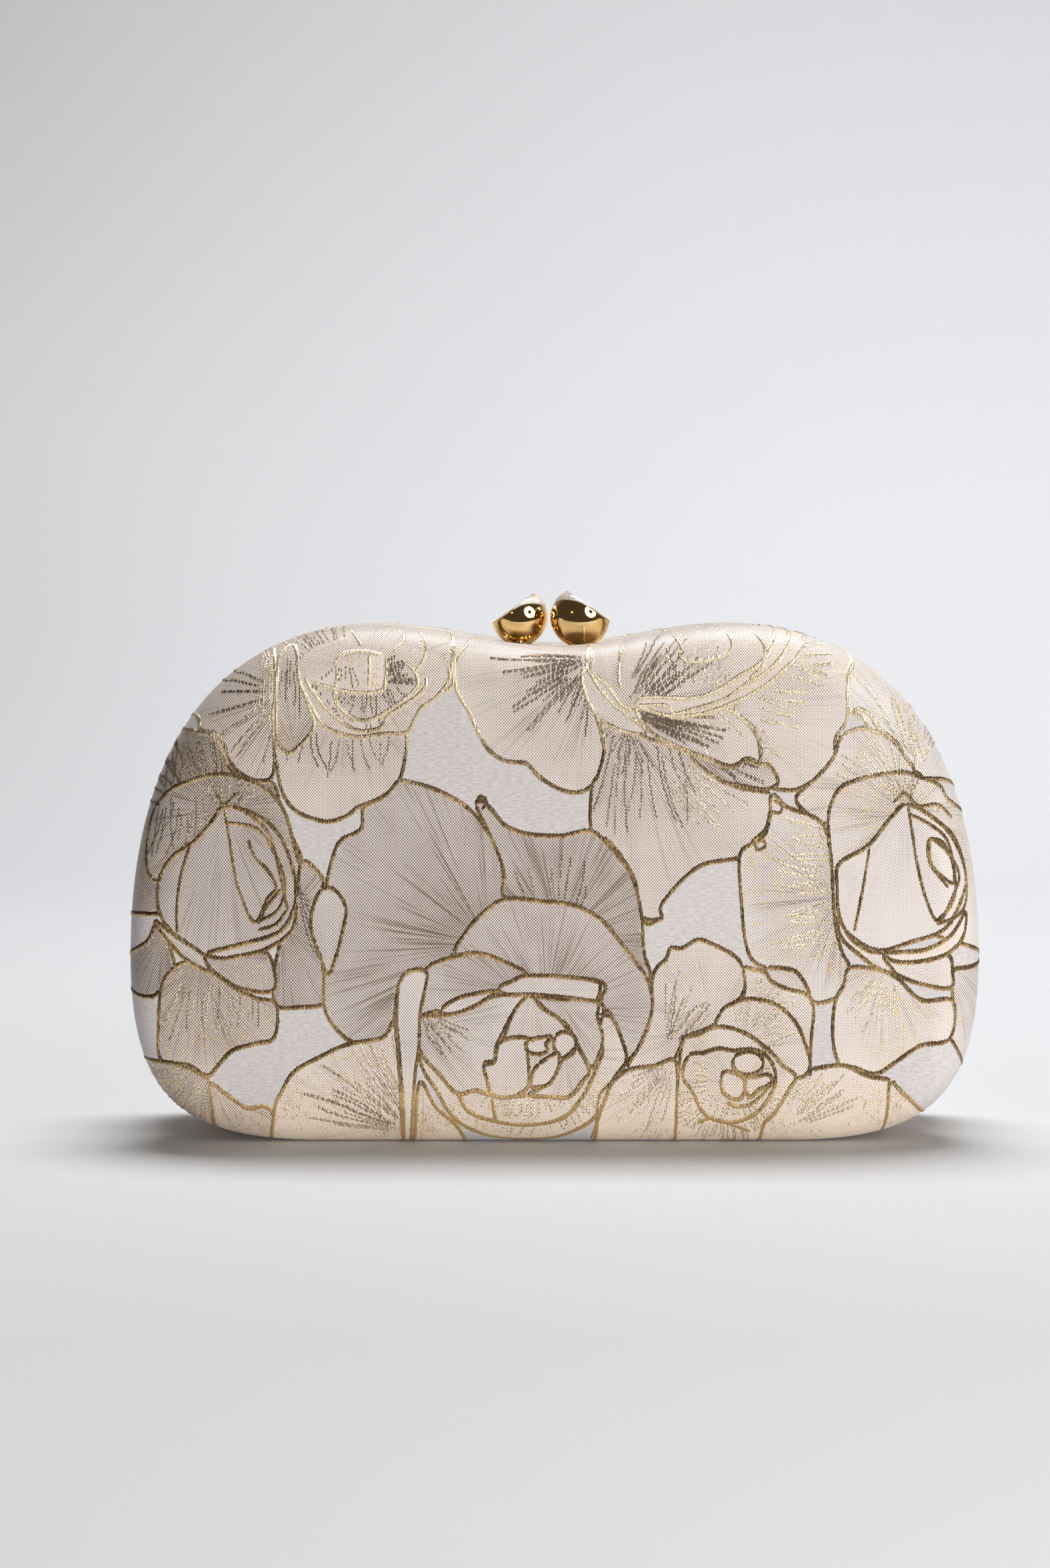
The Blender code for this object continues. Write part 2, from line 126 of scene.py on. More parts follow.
def outline(count):
    """Points and outward normals round the bag, from the bottom's middle to the right and over the top."""
    across = np.linspace(CREST_X, 0.0, 60)
    top = SADDLE_Z + (CREST_Z - SADDLE_Z) * (1 - np.cos(math.pi * across / CREST_X)) / 2
    right = np.vstack((
        ((0.0, 0.0), (BASE_HALF / 2, 0.0)), bezier(LOWER_CURVE, 120), bezier(UPPER_CURVE, 160),
        np.column_stack((across, top)),
    ))
    left = right[-2:0:-1] * (-1, 1)
    points = evenly(np.vstack((right, left)), count, closed=True)
    way = np.roll(points, -1, axis=0) - np.roll(points, 1, axis=0)
    normals = np.column_stack((way[:, 1], -way[:, 0]))
    return points, normals / np.linalg.norm(normals, axis=1)[:, None]


FINE_POINTS, FINE_NORMALS = outline(OUTLINE_COUNT)
FINE_SECTION = smooth_line(SECTION, 14)
SECTION_STEPS = np.linalg.norm(np.diff(FINE_SECTION, axis=0), axis=1)
SECTION_ALONG = np.concatenate(((0.0,), np.cumsum(SECTION_STEPS)))
WRAP = SECTION_ALONG[-1]  # cloth from the rim to the edge of the face
FACE_RING = FINE_POINTS - FINE_NORMALS * FACE_INSET
face_ways = FACE_RING - FACE_MIDDLE
FACE_ANGLES = np.unwrap(np.arctan2(face_ways[:, 1], face_ways[:, 0]))
FACE_REACH = np.linalg.norm(face_ways, axis=1)


def face_depth(share):
    """Distance from the seam of the outer surface, share being 0 at the face's middle and 1 at its edge."""
    return HALF_DEPTH - DOME * share**DOME_POWER


def nearest_edge(flat):
    """Distance inside the outline, and the index of the nearest outline point."""
    inward, near = np.empty(len(flat)), np.empty(len(flat), int)
    chunk = 4000
    for start in range(0, len(flat), chunk):
        these = slice(start, start + chunk)
        gap = flat[these][:, None, :] - FINE_POINTS[None, :, :]
        found = np.argmin((gap**2).sum(axis=2), axis=1)
        near[these] = found
        inward[these] = -(gap[np.arange(len(gap)), found] * FINE_NORMALS[found]).sum(axis=1)
    return inward, near


def laid_on(flat):
    """Where flat points of the design come to lie on the front half's outer surface."""
    flat = np.asarray(flat, float)
    inward, near = nearest_edge(flat)
    normal = FINE_NORMALS[near]
    foot = flat + normal * inward[:, None]
    arc = np.clip(WRAP - (FACE_INSET - inward), 0.0, WRAP)
    depth = np.interp(arc, SECTION_ALONG, FINE_SECTION[:, 0])
    edge = foot - normal * np.interp(arc, SECTION_ALONG, FINE_SECTION[:, 1])[:, None]
    way = flat - FACE_MIDDLE
    turn = np.mod(np.arctan2(way[:, 1], way[:, 0]) - FACE_ANGLES[0], math.tau) + FACE_ANGLES[0]
    share = np.linalg.norm(way, axis=1) / np.interp(turn, FACE_ANGLES, FACE_REACH)
    on_face = inward >= FACE_INSET
    across = np.where(on_face[:, None], flat, edge)
    depth = np.where(on_face, face_depth(np.minimum(share, 1.0)), depth)
    return np.column_stack((across[:, 0], -depth, across[:, 1]))


def raised(flat, lift):
    """Points laid on the surface and then lifted off it by lift millimetres."""
    flat = np.asarray(flat, float)
    base = laid_on(flat)
    step = 0.05
    right = laid_on(flat + (step, 0.0)) - base
    up = laid_on(flat + (0.0, step)) - base
    out = np.cross(right, up)
    length = np.linalg.norm(out, axis=1)[:, None]
    return base + out / np.maximum(length, 1e-9) * np.asarray(lift).reshape(-1, 1)


# ---------------------------------------------------------------- the view from the front

VIEW_HEIGHT = 0.3605  # metres that the picture's height takes in, where the front half is widest
VIEW_DISTANCE = 0.75
VIEW_ELEVATION = math.radians(4.5)
VIEW_AIM = Vector((-0.0068, -0.0115, 0.0822))
FOOT_IN_VIEW = 81.9  # from the aim down to the bag's foot, in the picture's plane
FACE_DEPTH_SEEN = 24.6  # the face's distance from the seam, taken as the same all over it

outer_part = np.argmin(FINE_SECTION[:, 1])
OUTER_INSETS = FINE_SECTION[outer_part:, 1]
OUTER_DEPTHS = FINE_SECTION[outer_part:, 0]
OUTER_ALONG = SECTION_ALONG[outer_part:]


def as_seen(points):
    """Flat places on the cloth of points given as they show from the front, right and up from the foot."""
    seen = np.asarray(points, float).reshape(-1, 2)
    aim = np.array(VIEW_AIM) / MM
    away, sine, cosine = VIEW_DISTANCE / MM, math.sin(VIEW_ELEVATION), math.cos(VIEW_ELEVATION)
    depth = np.full(len(seen), HALF_DEPTH)
    scale = np.full(len(seen), 1.0)
    for _round in range(8):
        x = aim[0] + (seen[:, 0] - aim[0]) / scale
        back = -depth - aim[1]
        z = aim[2] + ((seen[:, 1] - FOOT_IN_VIEW) / scale - back * sine) / cosine
        scale = away / (away + back * cosine - (z - aim[2]) * sine)
        place = np.column_stack((x, z))
        inset, near = nearest_edge(place)
        depth = np.where(inset >= FACE_INSET, FACE_DEPTH_SEEN, np.interp(inset, OUTER_INSETS, OUTER_DEPTHS))
    along = np.interp(inset, OUTER_INSETS, OUTER_ALONG)
    flat_inset = FACE_INSET - (WRAP - along) + np.minimum(inset, 0.0)
    flat_inset = np.where(inset >= FACE_INSET, inset, flat_inset)
    return place + FINE_NORMALS[near] * (inset - flat_inset)[:, None]


# ---------------------------------------------------------------- the jacquard's design

# A later petal lies on top of an earlier one.
PETALS = []
NO_RIM = 200.0
LINE_STEPS = 8  # curve points for each point of a listed line

# Strokes of thread that fan out over a petal: (the petal's number, flat points, how bright from 0 to 1).
STROKES = []
STROKE_BEND = 0.05
STROKE_TONE_SPREAD = 0.2
stroke_dice = np.random.default_rng(11)


def petal(points, focus, dark=0.4, warm=0.5, streak=0.5, gilt=0.0, reach=45.0, rim=NO_RIM):
    """A petal: its outline, which thread follows up to the height of rim, and the looks of its weave.

    Its streaks fan out from focus, as far as reach. The weave's dark dots, warmth, streaks and flecks of gold
    go from 0 to 1.
    """
    PETALS.append({
        "line": smooth_line(as_seen(points), LINE_STEPS, closed=True), "focus": as_seen(focus)[0],
        "rim": as_seen((points[0][0], rim))[0][1] if rim < NO_RIM else NO_RIM,
        "dark": dark, "warm": warm, "streak": streak, "gilt": gilt, "reach": reach,
    })


def hatch(focus, angles, reach, count, bright):
    """Strokes over the last petal, fanning out from a focus between two angles in degrees."""
    low, high = angles
    near, far = reach
    t = np.linspace(0.0, 1.0, 9)
    for i in range(count):
        turn = math.radians(low + (high - low) * (i + stroke_dice.uniform(0.15, 0.85)) / count)
        start = near + (far - near) * stroke_dice.uniform(0.0, 0.3)
        end = far - (far - near) * stroke_dice.uniform(0.0, 0.55)
        way = turn + stroke_dice.uniform(-STROKE_BEND, STROKE_BEND) * t * t
        radius = start + (end - start) * t
        line = np.column_stack((focus[0] + radius * np.cos(way), focus[1] + radius * np.sin(way)))
        tone = np.clip(bright + stroke_dice.uniform(-STROKE_TONE_SPREAD, STROKE_TONE_SPREAD), 0.0, 1.0)
        STROKES.append((len(PETALS) - 1, as_seen(line), tone))


def rose_top_left():
    petal(((-24.5, 137), (-24, 117), (-23.5, 110), (-23.5, 104.5), (-26.5, 102.5), (-30.5, 99.5), (-33, 97),
           (-34, 94), (-41, 90), (-52, 90), (-64, 90), (-80, 97), (-100, 108), (-92, 128), (-60, 140)),
          (-45, 104), dark=0.32, warm=0.7, streak=0.5, gilt=0.2)
    hatch((-46, 104), (100, 168), (10, 20), 14, 0.35)
    hatch((-33, 99), (50, 130), (6, 17), 8, 0.7)
    petal(((-82.5, 98), (-81.5, 94.5), (-78, 93.5), (-76, 90.5), (-74.5, 86.5), (-72, 84), (-68.5, 82.5),
           (-65, 83.5), (-64.5, 90), (-65, 98), (-64, 107), (-63.5, 116), (-64, 132), (-88, 122),
           (-96, 106)),
          (-62, 102), dark=0.33, warm=0.8, streak=0.7, gilt=0.25, reach=30)
    hatch((-62, 103), (150, 255), (4, 19), 8, 0.35)
    hatch((-65, 125), (262, 274), (8, 34), 9, 0.8)
    petal(((-64.2, 91.5), (-63.9, 86.4), (-62.9, 80.7), (-60.4, 76.4), (-56.6, 74.2), (-51.9, 73.2),
           (-47.8, 74.5), (-45.3, 76.4), (-41.6, 77.9), (-37.8, 79.8), (-35.6, 82.9), (-34.4, 87.6),
           (-34.1, 92.6), (-36, 96), (-45, 96), (-54, 98), (-59, 95.5), (-61.5, 89.5)),
          (-48, 106), dark=0.34, warm=0.8, streak=0.5, reach=30)
    hatch((-49, 150), (256, 282), (57, 67), 13, 0.2)
    petal(((-58.8, 109.6), (-60, 114), (-62.9, 112), (-63.8, 106.4), (-64.1, 100.2), (-63.8, 92),
           (-61.3, 88.9), (-58.5, 90.8), (-56.3, 93.3), (-55.4, 95.8), (-56.6, 99.5), (-58.5, 105.2)),
          (-60, 90), dark=0.36, warm=0.8, streak=0.5, gilt=0.3, reach=26)
    hatch((-61, 122), (262, 282), (10, 26), 7, 0.3)
    petal(((-58.8, 109.6), (-58.5, 104.6), (-56.3, 100.2), (-54.1, 96.4), (-51.6, 94.2), (-45.3, 92.6),
           (-39.7, 93.3), (-34.1, 93.6), (-32.5, 96.1), (-30.9, 99), (-28.4, 100.8), (-25.3, 103.9),
           (-24.1, 107.5), (-27, 111.5), (-33, 113.6), (-40, 115.6), (-49, 115.5), (-56, 113)),
          (-42, 104), dark=0.26, warm=0.9, streak=0.5, gilt=0.3, reach=24, rim=108.6)
    petal(((-57.3, 106.4), (-54.1, 100.8), (-51, 97.7), (-47.8, 95.2), (-44.1, 93.9), (-39.7, 94.9),
           (-38.8, 97), (-35.3, 99.5), (-31.6, 102), (-29.6, 104.6), (-30.5, 108.8), (-34, 111.9),
           (-39.6, 113.8), (-47, 114), (-54.5, 111.5)),
          (-43, 107), dark=0.24, warm=0.9, streak=0.6, gilt=0.3, reach=18, rim=106.5)
    hatch((-46, 106), (185, 330), (8, 13), 20, 0.3)
    hatch((-34, 106), (-80, 70), (1, 5), 9, 0.85)
    petal(((-50.5, 101), (-47.8, 97.7), (-44.1, 96.4), (-40.3, 97.4), (-37.2, 99.5), (-34.1, 101.7),
           (-31.6, 104.6), (-32.2, 107.6), (-34.6, 110.2), (-37.4, 111.6), (-43, 112.3), (-47.5, 112),
           (-50.3, 110), (-50.9, 105.4)),
          (-43, 104), dark=0.3, warm=0.8, streak=0.6, gilt=0.3, reach=14, rim=110.5)
    hatch((-44, 118), (240, 300), (15, 21), 14, 0.1)
    hatch((-46, 106), (-8, 40), (7, 14), 12, 0.12)
    petal(((-55.4, 105.4), (-51.6, 103.9), (-47.8, 103), (-43.5, 102.6), (-39.7, 103.3), (-39.1, 104.6),
           (-39.1, 107), (-38.5, 110.2), (-39.5, 112), (-45.3, 111.7), (-49.5, 110.8), (-51, 108.4)),
          (-44, 112), dark=0.16, warm=0.8, streak=0.3, gilt=0.6, reach=10, rim=105.6)
    hatch((-48, 112), (225, 300), (3, 8), 6, 0.15)
    petal(((-42.9, 111), (-43.4, 107.7), (-43.5, 104.4), (-41.6, 103), (-39.9, 104.2), (-39.5, 107),
           (-39.2, 110.4), (-40.5, 112)),
          (-41, 104), dark=0.02, warm=0.9, streak=0.1, gilt=1.0, reach=8, rim=80.0)


def rose_top_right():
    petal(((-24, 138), (-23.5, 116.5), (-23, 110), (-22.5, 103.5), (-19.5, 98), (-17, 92.5), (-14.5, 89),
           (-11, 87), (-6.5, 86.5), (-3.5, 83.5), (1.5, 80.5), (6, 80), (9.5, 82.5), (11.5, 86.5), (11, 92),
           (9.5, 97.5), (7.5, 102), (6.5, 106.5), (7.5, 112.5), (7.5, 138)),
          (10, 111), dark=0.28, warm=0.6, streak=0.5, reach=42)
    hatch((9, 111), (174, 230), (3, 24), 17, 0.12)
    hatch((9, 111), (230, 264), (3, 18), 8, 0.2)
    petal(((11, 96.5), (11.5, 90), (10, 84), (8.5, 80.5), (8.5, 71), (12, 69), (15.5, 65), (18.5, 59.5),
           (20, 51.5), (24.5, 51), (24.5, 54), (29.5, 60), (34.5, 63.5), (42.5, 65), (45.5, 68.5),
           (48.5, 71.5), (49.5, 75.5), (50, 79.5), (42.5, 81), (36, 84.5), (32, 88.5), (21, 92.5),
           (15.5, 95)),
          (17, 96), dark=0.33, warm=0.65, streak=0.6, reach=40)
    hatch((20, 128), (251, 285), (35, 60), 15, 0.25)
    hatch((16, 98), (300, 326), (18, 36), 9, 0.75)
    hatch((17, 96), (240, 300), (2, 12), 9, 0.1)
    petal(((68.5, 111), (67.4, 104), (67.4, 96.7), (64.7, 92.2), (64.3, 87.7), (60.3, 83.2), (55.8, 80.6),
           (51.4, 80.6), (47, 82), (42.5, 81), (36, 84.5), (32, 88.5), (40.5, 86), (46.5, 86.5), (47.5, 90),
           (45.5, 95), (41.5, 99), (46, 105), (50, 112), (54, 136), (80, 128)),
          (37, 99), dark=0.25, warm=0.6, streak=0.4, gilt=0.6, reach=38)
    hatch((30, 106), (-45, -5), (17, 29), 9, 0.9)
    hatch((34, 110), (-12, 14), (19, 31), 6, 0.9)
    petal(((31.7, 88.6), (35.3, 87.7), (40.6, 85.7), (44.2, 87.3), (47.3, 86.4), (49.6, 85.9), (51.4, 82.3),
           (48.7, 80.6), (43.3, 81.4), (38.8, 82.3), (35.3, 84.6), (32.6, 86.8)),
          (33, 88), dark=0.38, warm=0.7, streak=0.6, reach=22)
    hatch((33, 90), (-40, -8), (3, 18), 7, 0.2)
    petal(((8.5, 138), (8.5, 112.5), (8.5, 108), (12, 104.5), (15.5, 100), (19, 98.5), (28, 97.5),
           (33.5, 100), (41.5, 103.5), (48, 108.5), (50.5, 116.5), (52, 138)),
          (13, 99), dark=0.27, warm=0.7, streak=0.5, gilt=0.1, reach=34)
    hatch((10, 92), (32, 62), (12, 32), 15, 0.2)
    hatch((31, 97), (45, 120), (7, 18), 12, 0.6)
    petal(((18.8, 99.4), (25.5, 97.6), (31.7, 98), (38.8, 99), (43.3, 96.7), (46.4, 93.1), (47.3, 88.6),
           (46.9, 86.8), (44.2, 87.7), (40.6, 85.9), (35.3, 87.7), (31.7, 89), (26.3, 91.3), (21.4, 94.4)),
          (16, 98), dark=0.32, warm=0.75, streak=0.8, reach=22)
    hatch((16, 99), (-30, -2), (4, 26), 15, 0.15)
    hatch((30, 104), (-75, -25), (8, 17), 7, 0.8)
    petal(((26.3, 97.1), (34.4, 98), (40.6, 100.2), (46.9, 103.3), (52.2, 107.4), (56.5, 113), (58.5, 121),
           (55.5, 121), (53.1, 113.6), (49.6, 108.3), (44.2, 104.7), (38.8, 101.4), (31.7, 99.3)),
          (20, 98), dark=0.2, warm=0.8, streak=0.3, gilt=0.9)
    petal(((19.2, 99.8), (25.5, 99.8), (27.5, 97.9), (31.7, 98.9), (38.8, 101.1), (44.2, 104.7),
           (49.6, 108.3), (53.1, 113.6), (54, 121), (51.5, 121), (50, 114.5), (47, 109.5), (42.4, 106.5),
           (37, 103), (31, 101.5), (24, 101.7), (20, 101.4)),
          (20, 98), dark=0.18, warm=0.8, streak=0.3, gilt=0.9)
    petal(((6.3, 107.4), (7.6, 108.3), (10.3, 103.8), (13.9, 99.8), (19.2, 95.8), (21, 94), (20.1, 93.1),
           (15.6, 94), (11.2, 96.2), (8.5, 99.4), (6.7, 103.8)),
          (22, 92), dark=0.24, warm=0.6, streak=0.3, gilt=0.2)


# This bud's petals get the darkest weave: partly the cloth's own tone, partly painted shade on the side away
# from the lamps.
def bud_left():
    petal(((-82.5, 94), (-79.5, 93.5), (-77, 90), (-75, 85.5), (-71, 82.5), (-65, 82), (-63, 77),
           (-60.5, 70), (-58, 64), (-58.5, 58), (-60, 53), (-75, 55), (-91, 52), (-118, 55), (-122, 75),
           (-105, 98)),
          (-76, 74), dark=0.5, warm=0.6, streak=1.0, gilt=0.35, reach=34)
    hatch((-76, 68), (70, 150), (14, 30), 12, 0.35)
    hatch((-86, 150), (262, 278), (56, 72), 16, 0.3)
    petal(((-92.5, 60), (-93, 73), (-89.5, 79.5), (-84, 82.5), (-77, 84), (-69, 82), (-63, 77), (-60, 68),
           (-59, 58), (-76, 60)),
          (-76, 76), dark=0.45, warm=0.6, streak=0.9, gilt=0.4, reach=22)
    hatch((-75, 73), (50, 130), (3, 10), 13, 0.65)
    hatch((-84, 130), (262, 275), (51, 68), 13, 0.3)
    petal(((-58, 64), (-53.5, 60.5), (-53.5, 57.5), (-54.5, 54), (-56, 49), (-54, 43.5), (-53, 37),
           (-53, 31.5), (-58.5, 30.5), (-64, 31), (-64.5, 38.5), (-62, 49), (-59.5, 55.5)),
          (-63, 50), dark=0.45, warm=0.4, streak=0.5)
    hatch((-60, 62), (255, 300), (3, 22), 8, 0.3)
    petal(((-76, 76.5), (-79, 73), (-83, 68.5), (-88, 65), (-91, 59.5), (-91, 53), (-88.5, 48), (-84.5, 45),
           (-80, 42.5), (-72.5, 44.5), (-64.5, 47), (-60.5, 51.5), (-59.5, 57), (-60.5, 63.5), (-64, 71),
           (-69.5, 75)),
          (-76, 76), dark=0.44, warm=0.4, streak=0.4)
    petal(((-118, 45), (-98, 43), (-94.5, 45), (-91.5, 50), (-89, 45), (-87.5, 38), (-91, 34), (-94.5, 33),
           (-98, 36), (-118, 32)),
          (-90, 47), dark=0.5, warm=0.6, streak=0.6)
    petal(((-88.5, 38.5), (-84, 41), (-79, 38.5), (-73, 34.5), (-68.5, 32.5), (-64, 31), (-64.5, 23.5),
           (-69, 22), (-74, 20.5), (-77, 17.5), (-80, 14.5), (-84.5, 17), (-90.5, 18.5), (-91, 26.5),
           (-90.5, 34.5)),
          (-82, 40), dark=0.42, warm=1.0, streak=0.8, gilt=0.6, reach=26)
    hatch((-76, 74), (254, 286), (37, 53), 16, 0.5)
    petal(((-92, 50.5), (-89, 45.5), (-84.5, 41), (-79, 38.5), (-81, 42.5), (-87, 46.5)),
          (-92, 50), dark=0.4, warm=0.7, streak=0.2)
    petal(((-80, 42.5), (-72.5, 42.5), (-66.5, 43), (-64.5, 39), (-64.5, 34.5), (-68.5, 34), (-73, 35),
           (-77, 37.5), (-79.5, 39.5)),
          (-80, 42), dark=0.42, warm=0.6, streak=0.5, gilt=0.3)
    petal(((-80, 42.8), (-72.5, 44.8), (-63, 48), (-59.5, 54), (-60.5, 48), (-66, 44), (-72.5, 42.2),
           (-77, 41.6)),
          (-80, 42), dark=0.36, warm=0.8, streak=0.2, gilt=0.4)


# This bud's petals get the lightest weave: partly the cloth's own tone, partly painted light on the side that
# faces the lamps.
def bud_right():
    petal(((69.5, 128), (68.5, 111), (67.5, 106), (68, 98.5), (72, 98), (74, 95), (78.5, 91.5), (81, 87.5),
           (84, 84), (89, 83), (120, 83), (104, 116)),
          (86, 84), dark=0.12, warm=0.2, streak=0.6, gilt=0.6)
    hatch((84, 82), (70, 130), (4, 26), 14, 0.9)
    petal(((66.5, 93), (72.5, 94.5), (78, 91.5), (81, 87.5), (82.5, 84.5), (78, 80), (66.5, 81), (63, 73),
           (59, 74.5), (55.5, 78.5), (60, 83), (64, 87.5)),
          (80, 80), dark=0.17, warm=0.5, streak=0.6, gilt=0.7)
    hatch((80, 78), (90, 190), (4, 18), 14, 0.85)
    petal(((63, 73), (64, 78), (66.5, 81.5), (73, 83.5), (80, 84.5), (84, 83.5), (88.5, 81.5), (93, 77),
           (120, 72), (120, 40), (94, 45), (80, 50), (65, 50), (64, 60)),
          (81, 75), dark=0.20, warm=0.5, streak=0.8, gilt=0.8, reach=26)
    hatch((81, 77), (60, 150), (1, 8), 16, 0.6)
    hatch((96, 62), (150, 215), (3, 12), 9, 0.9)
    petal(((50, 79.5), (53.5, 76.5), (59, 74.5), (62, 72), (63.5, 66), (64, 58), (64.5, 50), (66, 43.5),
           (68, 39), (66, 33.5), (60, 31.5), (57.5, 35.5), (53, 38.5), (46.5, 40.5), (44, 45), (43, 54),
           (42.5, 65), (45, 68), (48, 69.5), (49.5, 74)),
          (66, 56), dark=0.24, warm=0.35, streak=0.9, gilt=0.7, reach=24)
    hatch((104, 60), (158, 203), (40, 54), 26, 0.95)
    petal(((81, 77), (77.5, 74), (72, 67.5), (65.5, 63.5), (65, 58), (65.5, 51.5), (68, 47), (74.5, 43.5),
           (82.5, 45.5), (89.5, 48), (93, 54), (94.5, 61), (91.5, 69.5), (86.5, 74.5)),
          (81, 77), dark=0.16, warm=0.3, streak=0.3)
    petal(((91.5, 38.5), (96, 40), (120, 42), (120, 8), (97, 14), (91, 23.5), (91.5, 32)),
          (91, 40), dark=0.23, warm=0.4, streak=0.6)
    petal(((68, 39.5), (74.5, 39), (79, 37), (84.5, 32), (91.5, 32), (91, 23.5), (84.5, 21.5), (79, 18),
           (74, 15), (69, 16.5), (65.5, 17.5), (64, 23.5), (64.5, 31.5), (66.5, 35.5)),
          (76, 40), dark=0.16, warm=0.6, streak=0.6, gilt=0.7, reach=28)
    hatch((78, 40), (215, 280), (3, 18), 10, 0.85)
    petal(((65, 51.5), (68, 46.5), (72, 43.5), (76, 42.5), (79, 38.5), (75, 39), (69.5, 43), (66, 46.5)),
          (65, 51), dark=0.19, warm=0.6, streak=0.2)
    petal(((76, 42.5), (85, 41), (90.5, 42.5), (91.5, 38.5), (91, 35), (85, 35.5), (79.5, 37.5),
           (77.5, 39.5)),
          (76, 42), dark=0.16, warm=0.5, streak=0.4, gilt=0.4)
    petal(((76, 42.8), (85, 43.5), (91, 47), (94.5, 52.5), (94, 47), (90.5, 43), (85, 41), (79, 40.8)),
          (76, 42), dark=0.11, warm=0.8, streak=0.2, gilt=0.8)


def petals_middle():
    petal(((-35.5, 82.5), (-38, 80), (-41, 78), (-44, 76), (-44.5, 71.5), (-49, 69), (-51, 65), (-52.5, 58),
           (-53, 47.5), (-53, 37), (-52.5, 29), (-47.5, 23), (-42.5, 22.5), (-39, 23.5), (-37, 27.5),
           (-36, 35), (-34, 38.5), (-31.5, 39), (-29, 38.5), (-23.5, 42.5), (-19.5, 48.5), (-11.5, 55.5),
           (-11.5, 58), (-12.5, 65), (-15.5, 71), (-19.5, 76), (-25, 79.5), (-30, 81.5)),
          (-15, 45), dark=0.4, warm=0.35, streak=0.95, reach=50)
    petal(((-53.5, 57.5), (-50.5, 57.5), (-48, 53.5), (-48.5, 49), (-50, 43), (-52, 38), (-54, 42.5),
           (-56, 48.5), (-55.5, 53.5)),
          (-52, 38), dark=0.38, warm=0.4, streak=0.2)
    petal(((-18, 77), (-16.5, 77.8), (-14, 75.5), (-11.5, 72.5), (-6.5, 70.5), (1.5, 70), (8.5, 71),
           (14, 66), (18, 60), (20, 51.5), (20.5, 43.5), (22, 38.5), (21, 37), (15.5, 45), (11, 50.5),
           (4.5, 54), (-3.5, 55), (-11.5, 56), (-11.5, 61), (-13, 66), (-15.5, 71.5)),
          (1, 46), dark=0.44, warm=0.35, streak=0.9, reach=34)
    hatch((0, 40), (60, 115), (14, 26), 7, 0.15)
    petal(((-23, 43), (-19.5, 49), (-15.5, 53), (-11, 55.5), (-3.5, 55), (4.5, 54), (11, 50.5), (15.5, 45),
           (21, 37.5), (22.5, 31.5), (21, 25), (17, 18.5), (12, 24), (10.5, 31), (10.5, 36.5), (-6.5, 38),
           (-11.5, 41), (-17.5, 43)),
          (-2, 30), dark=0.4, warm=0.35, streak=0.7, reach=34)
    petal(((-30.5, 38), (-28, 40.5), (-23.5, 42), (-17.5, 43), (-11.5, 41), (-6.5, 38), (-11.5, 34),
           (-19.5, 31), (-26, 28), (-31, 27), (-31.5, 34.5)),
          (-8, 34), dark=0.4, warm=0.35, streak=0.7, reach=30)


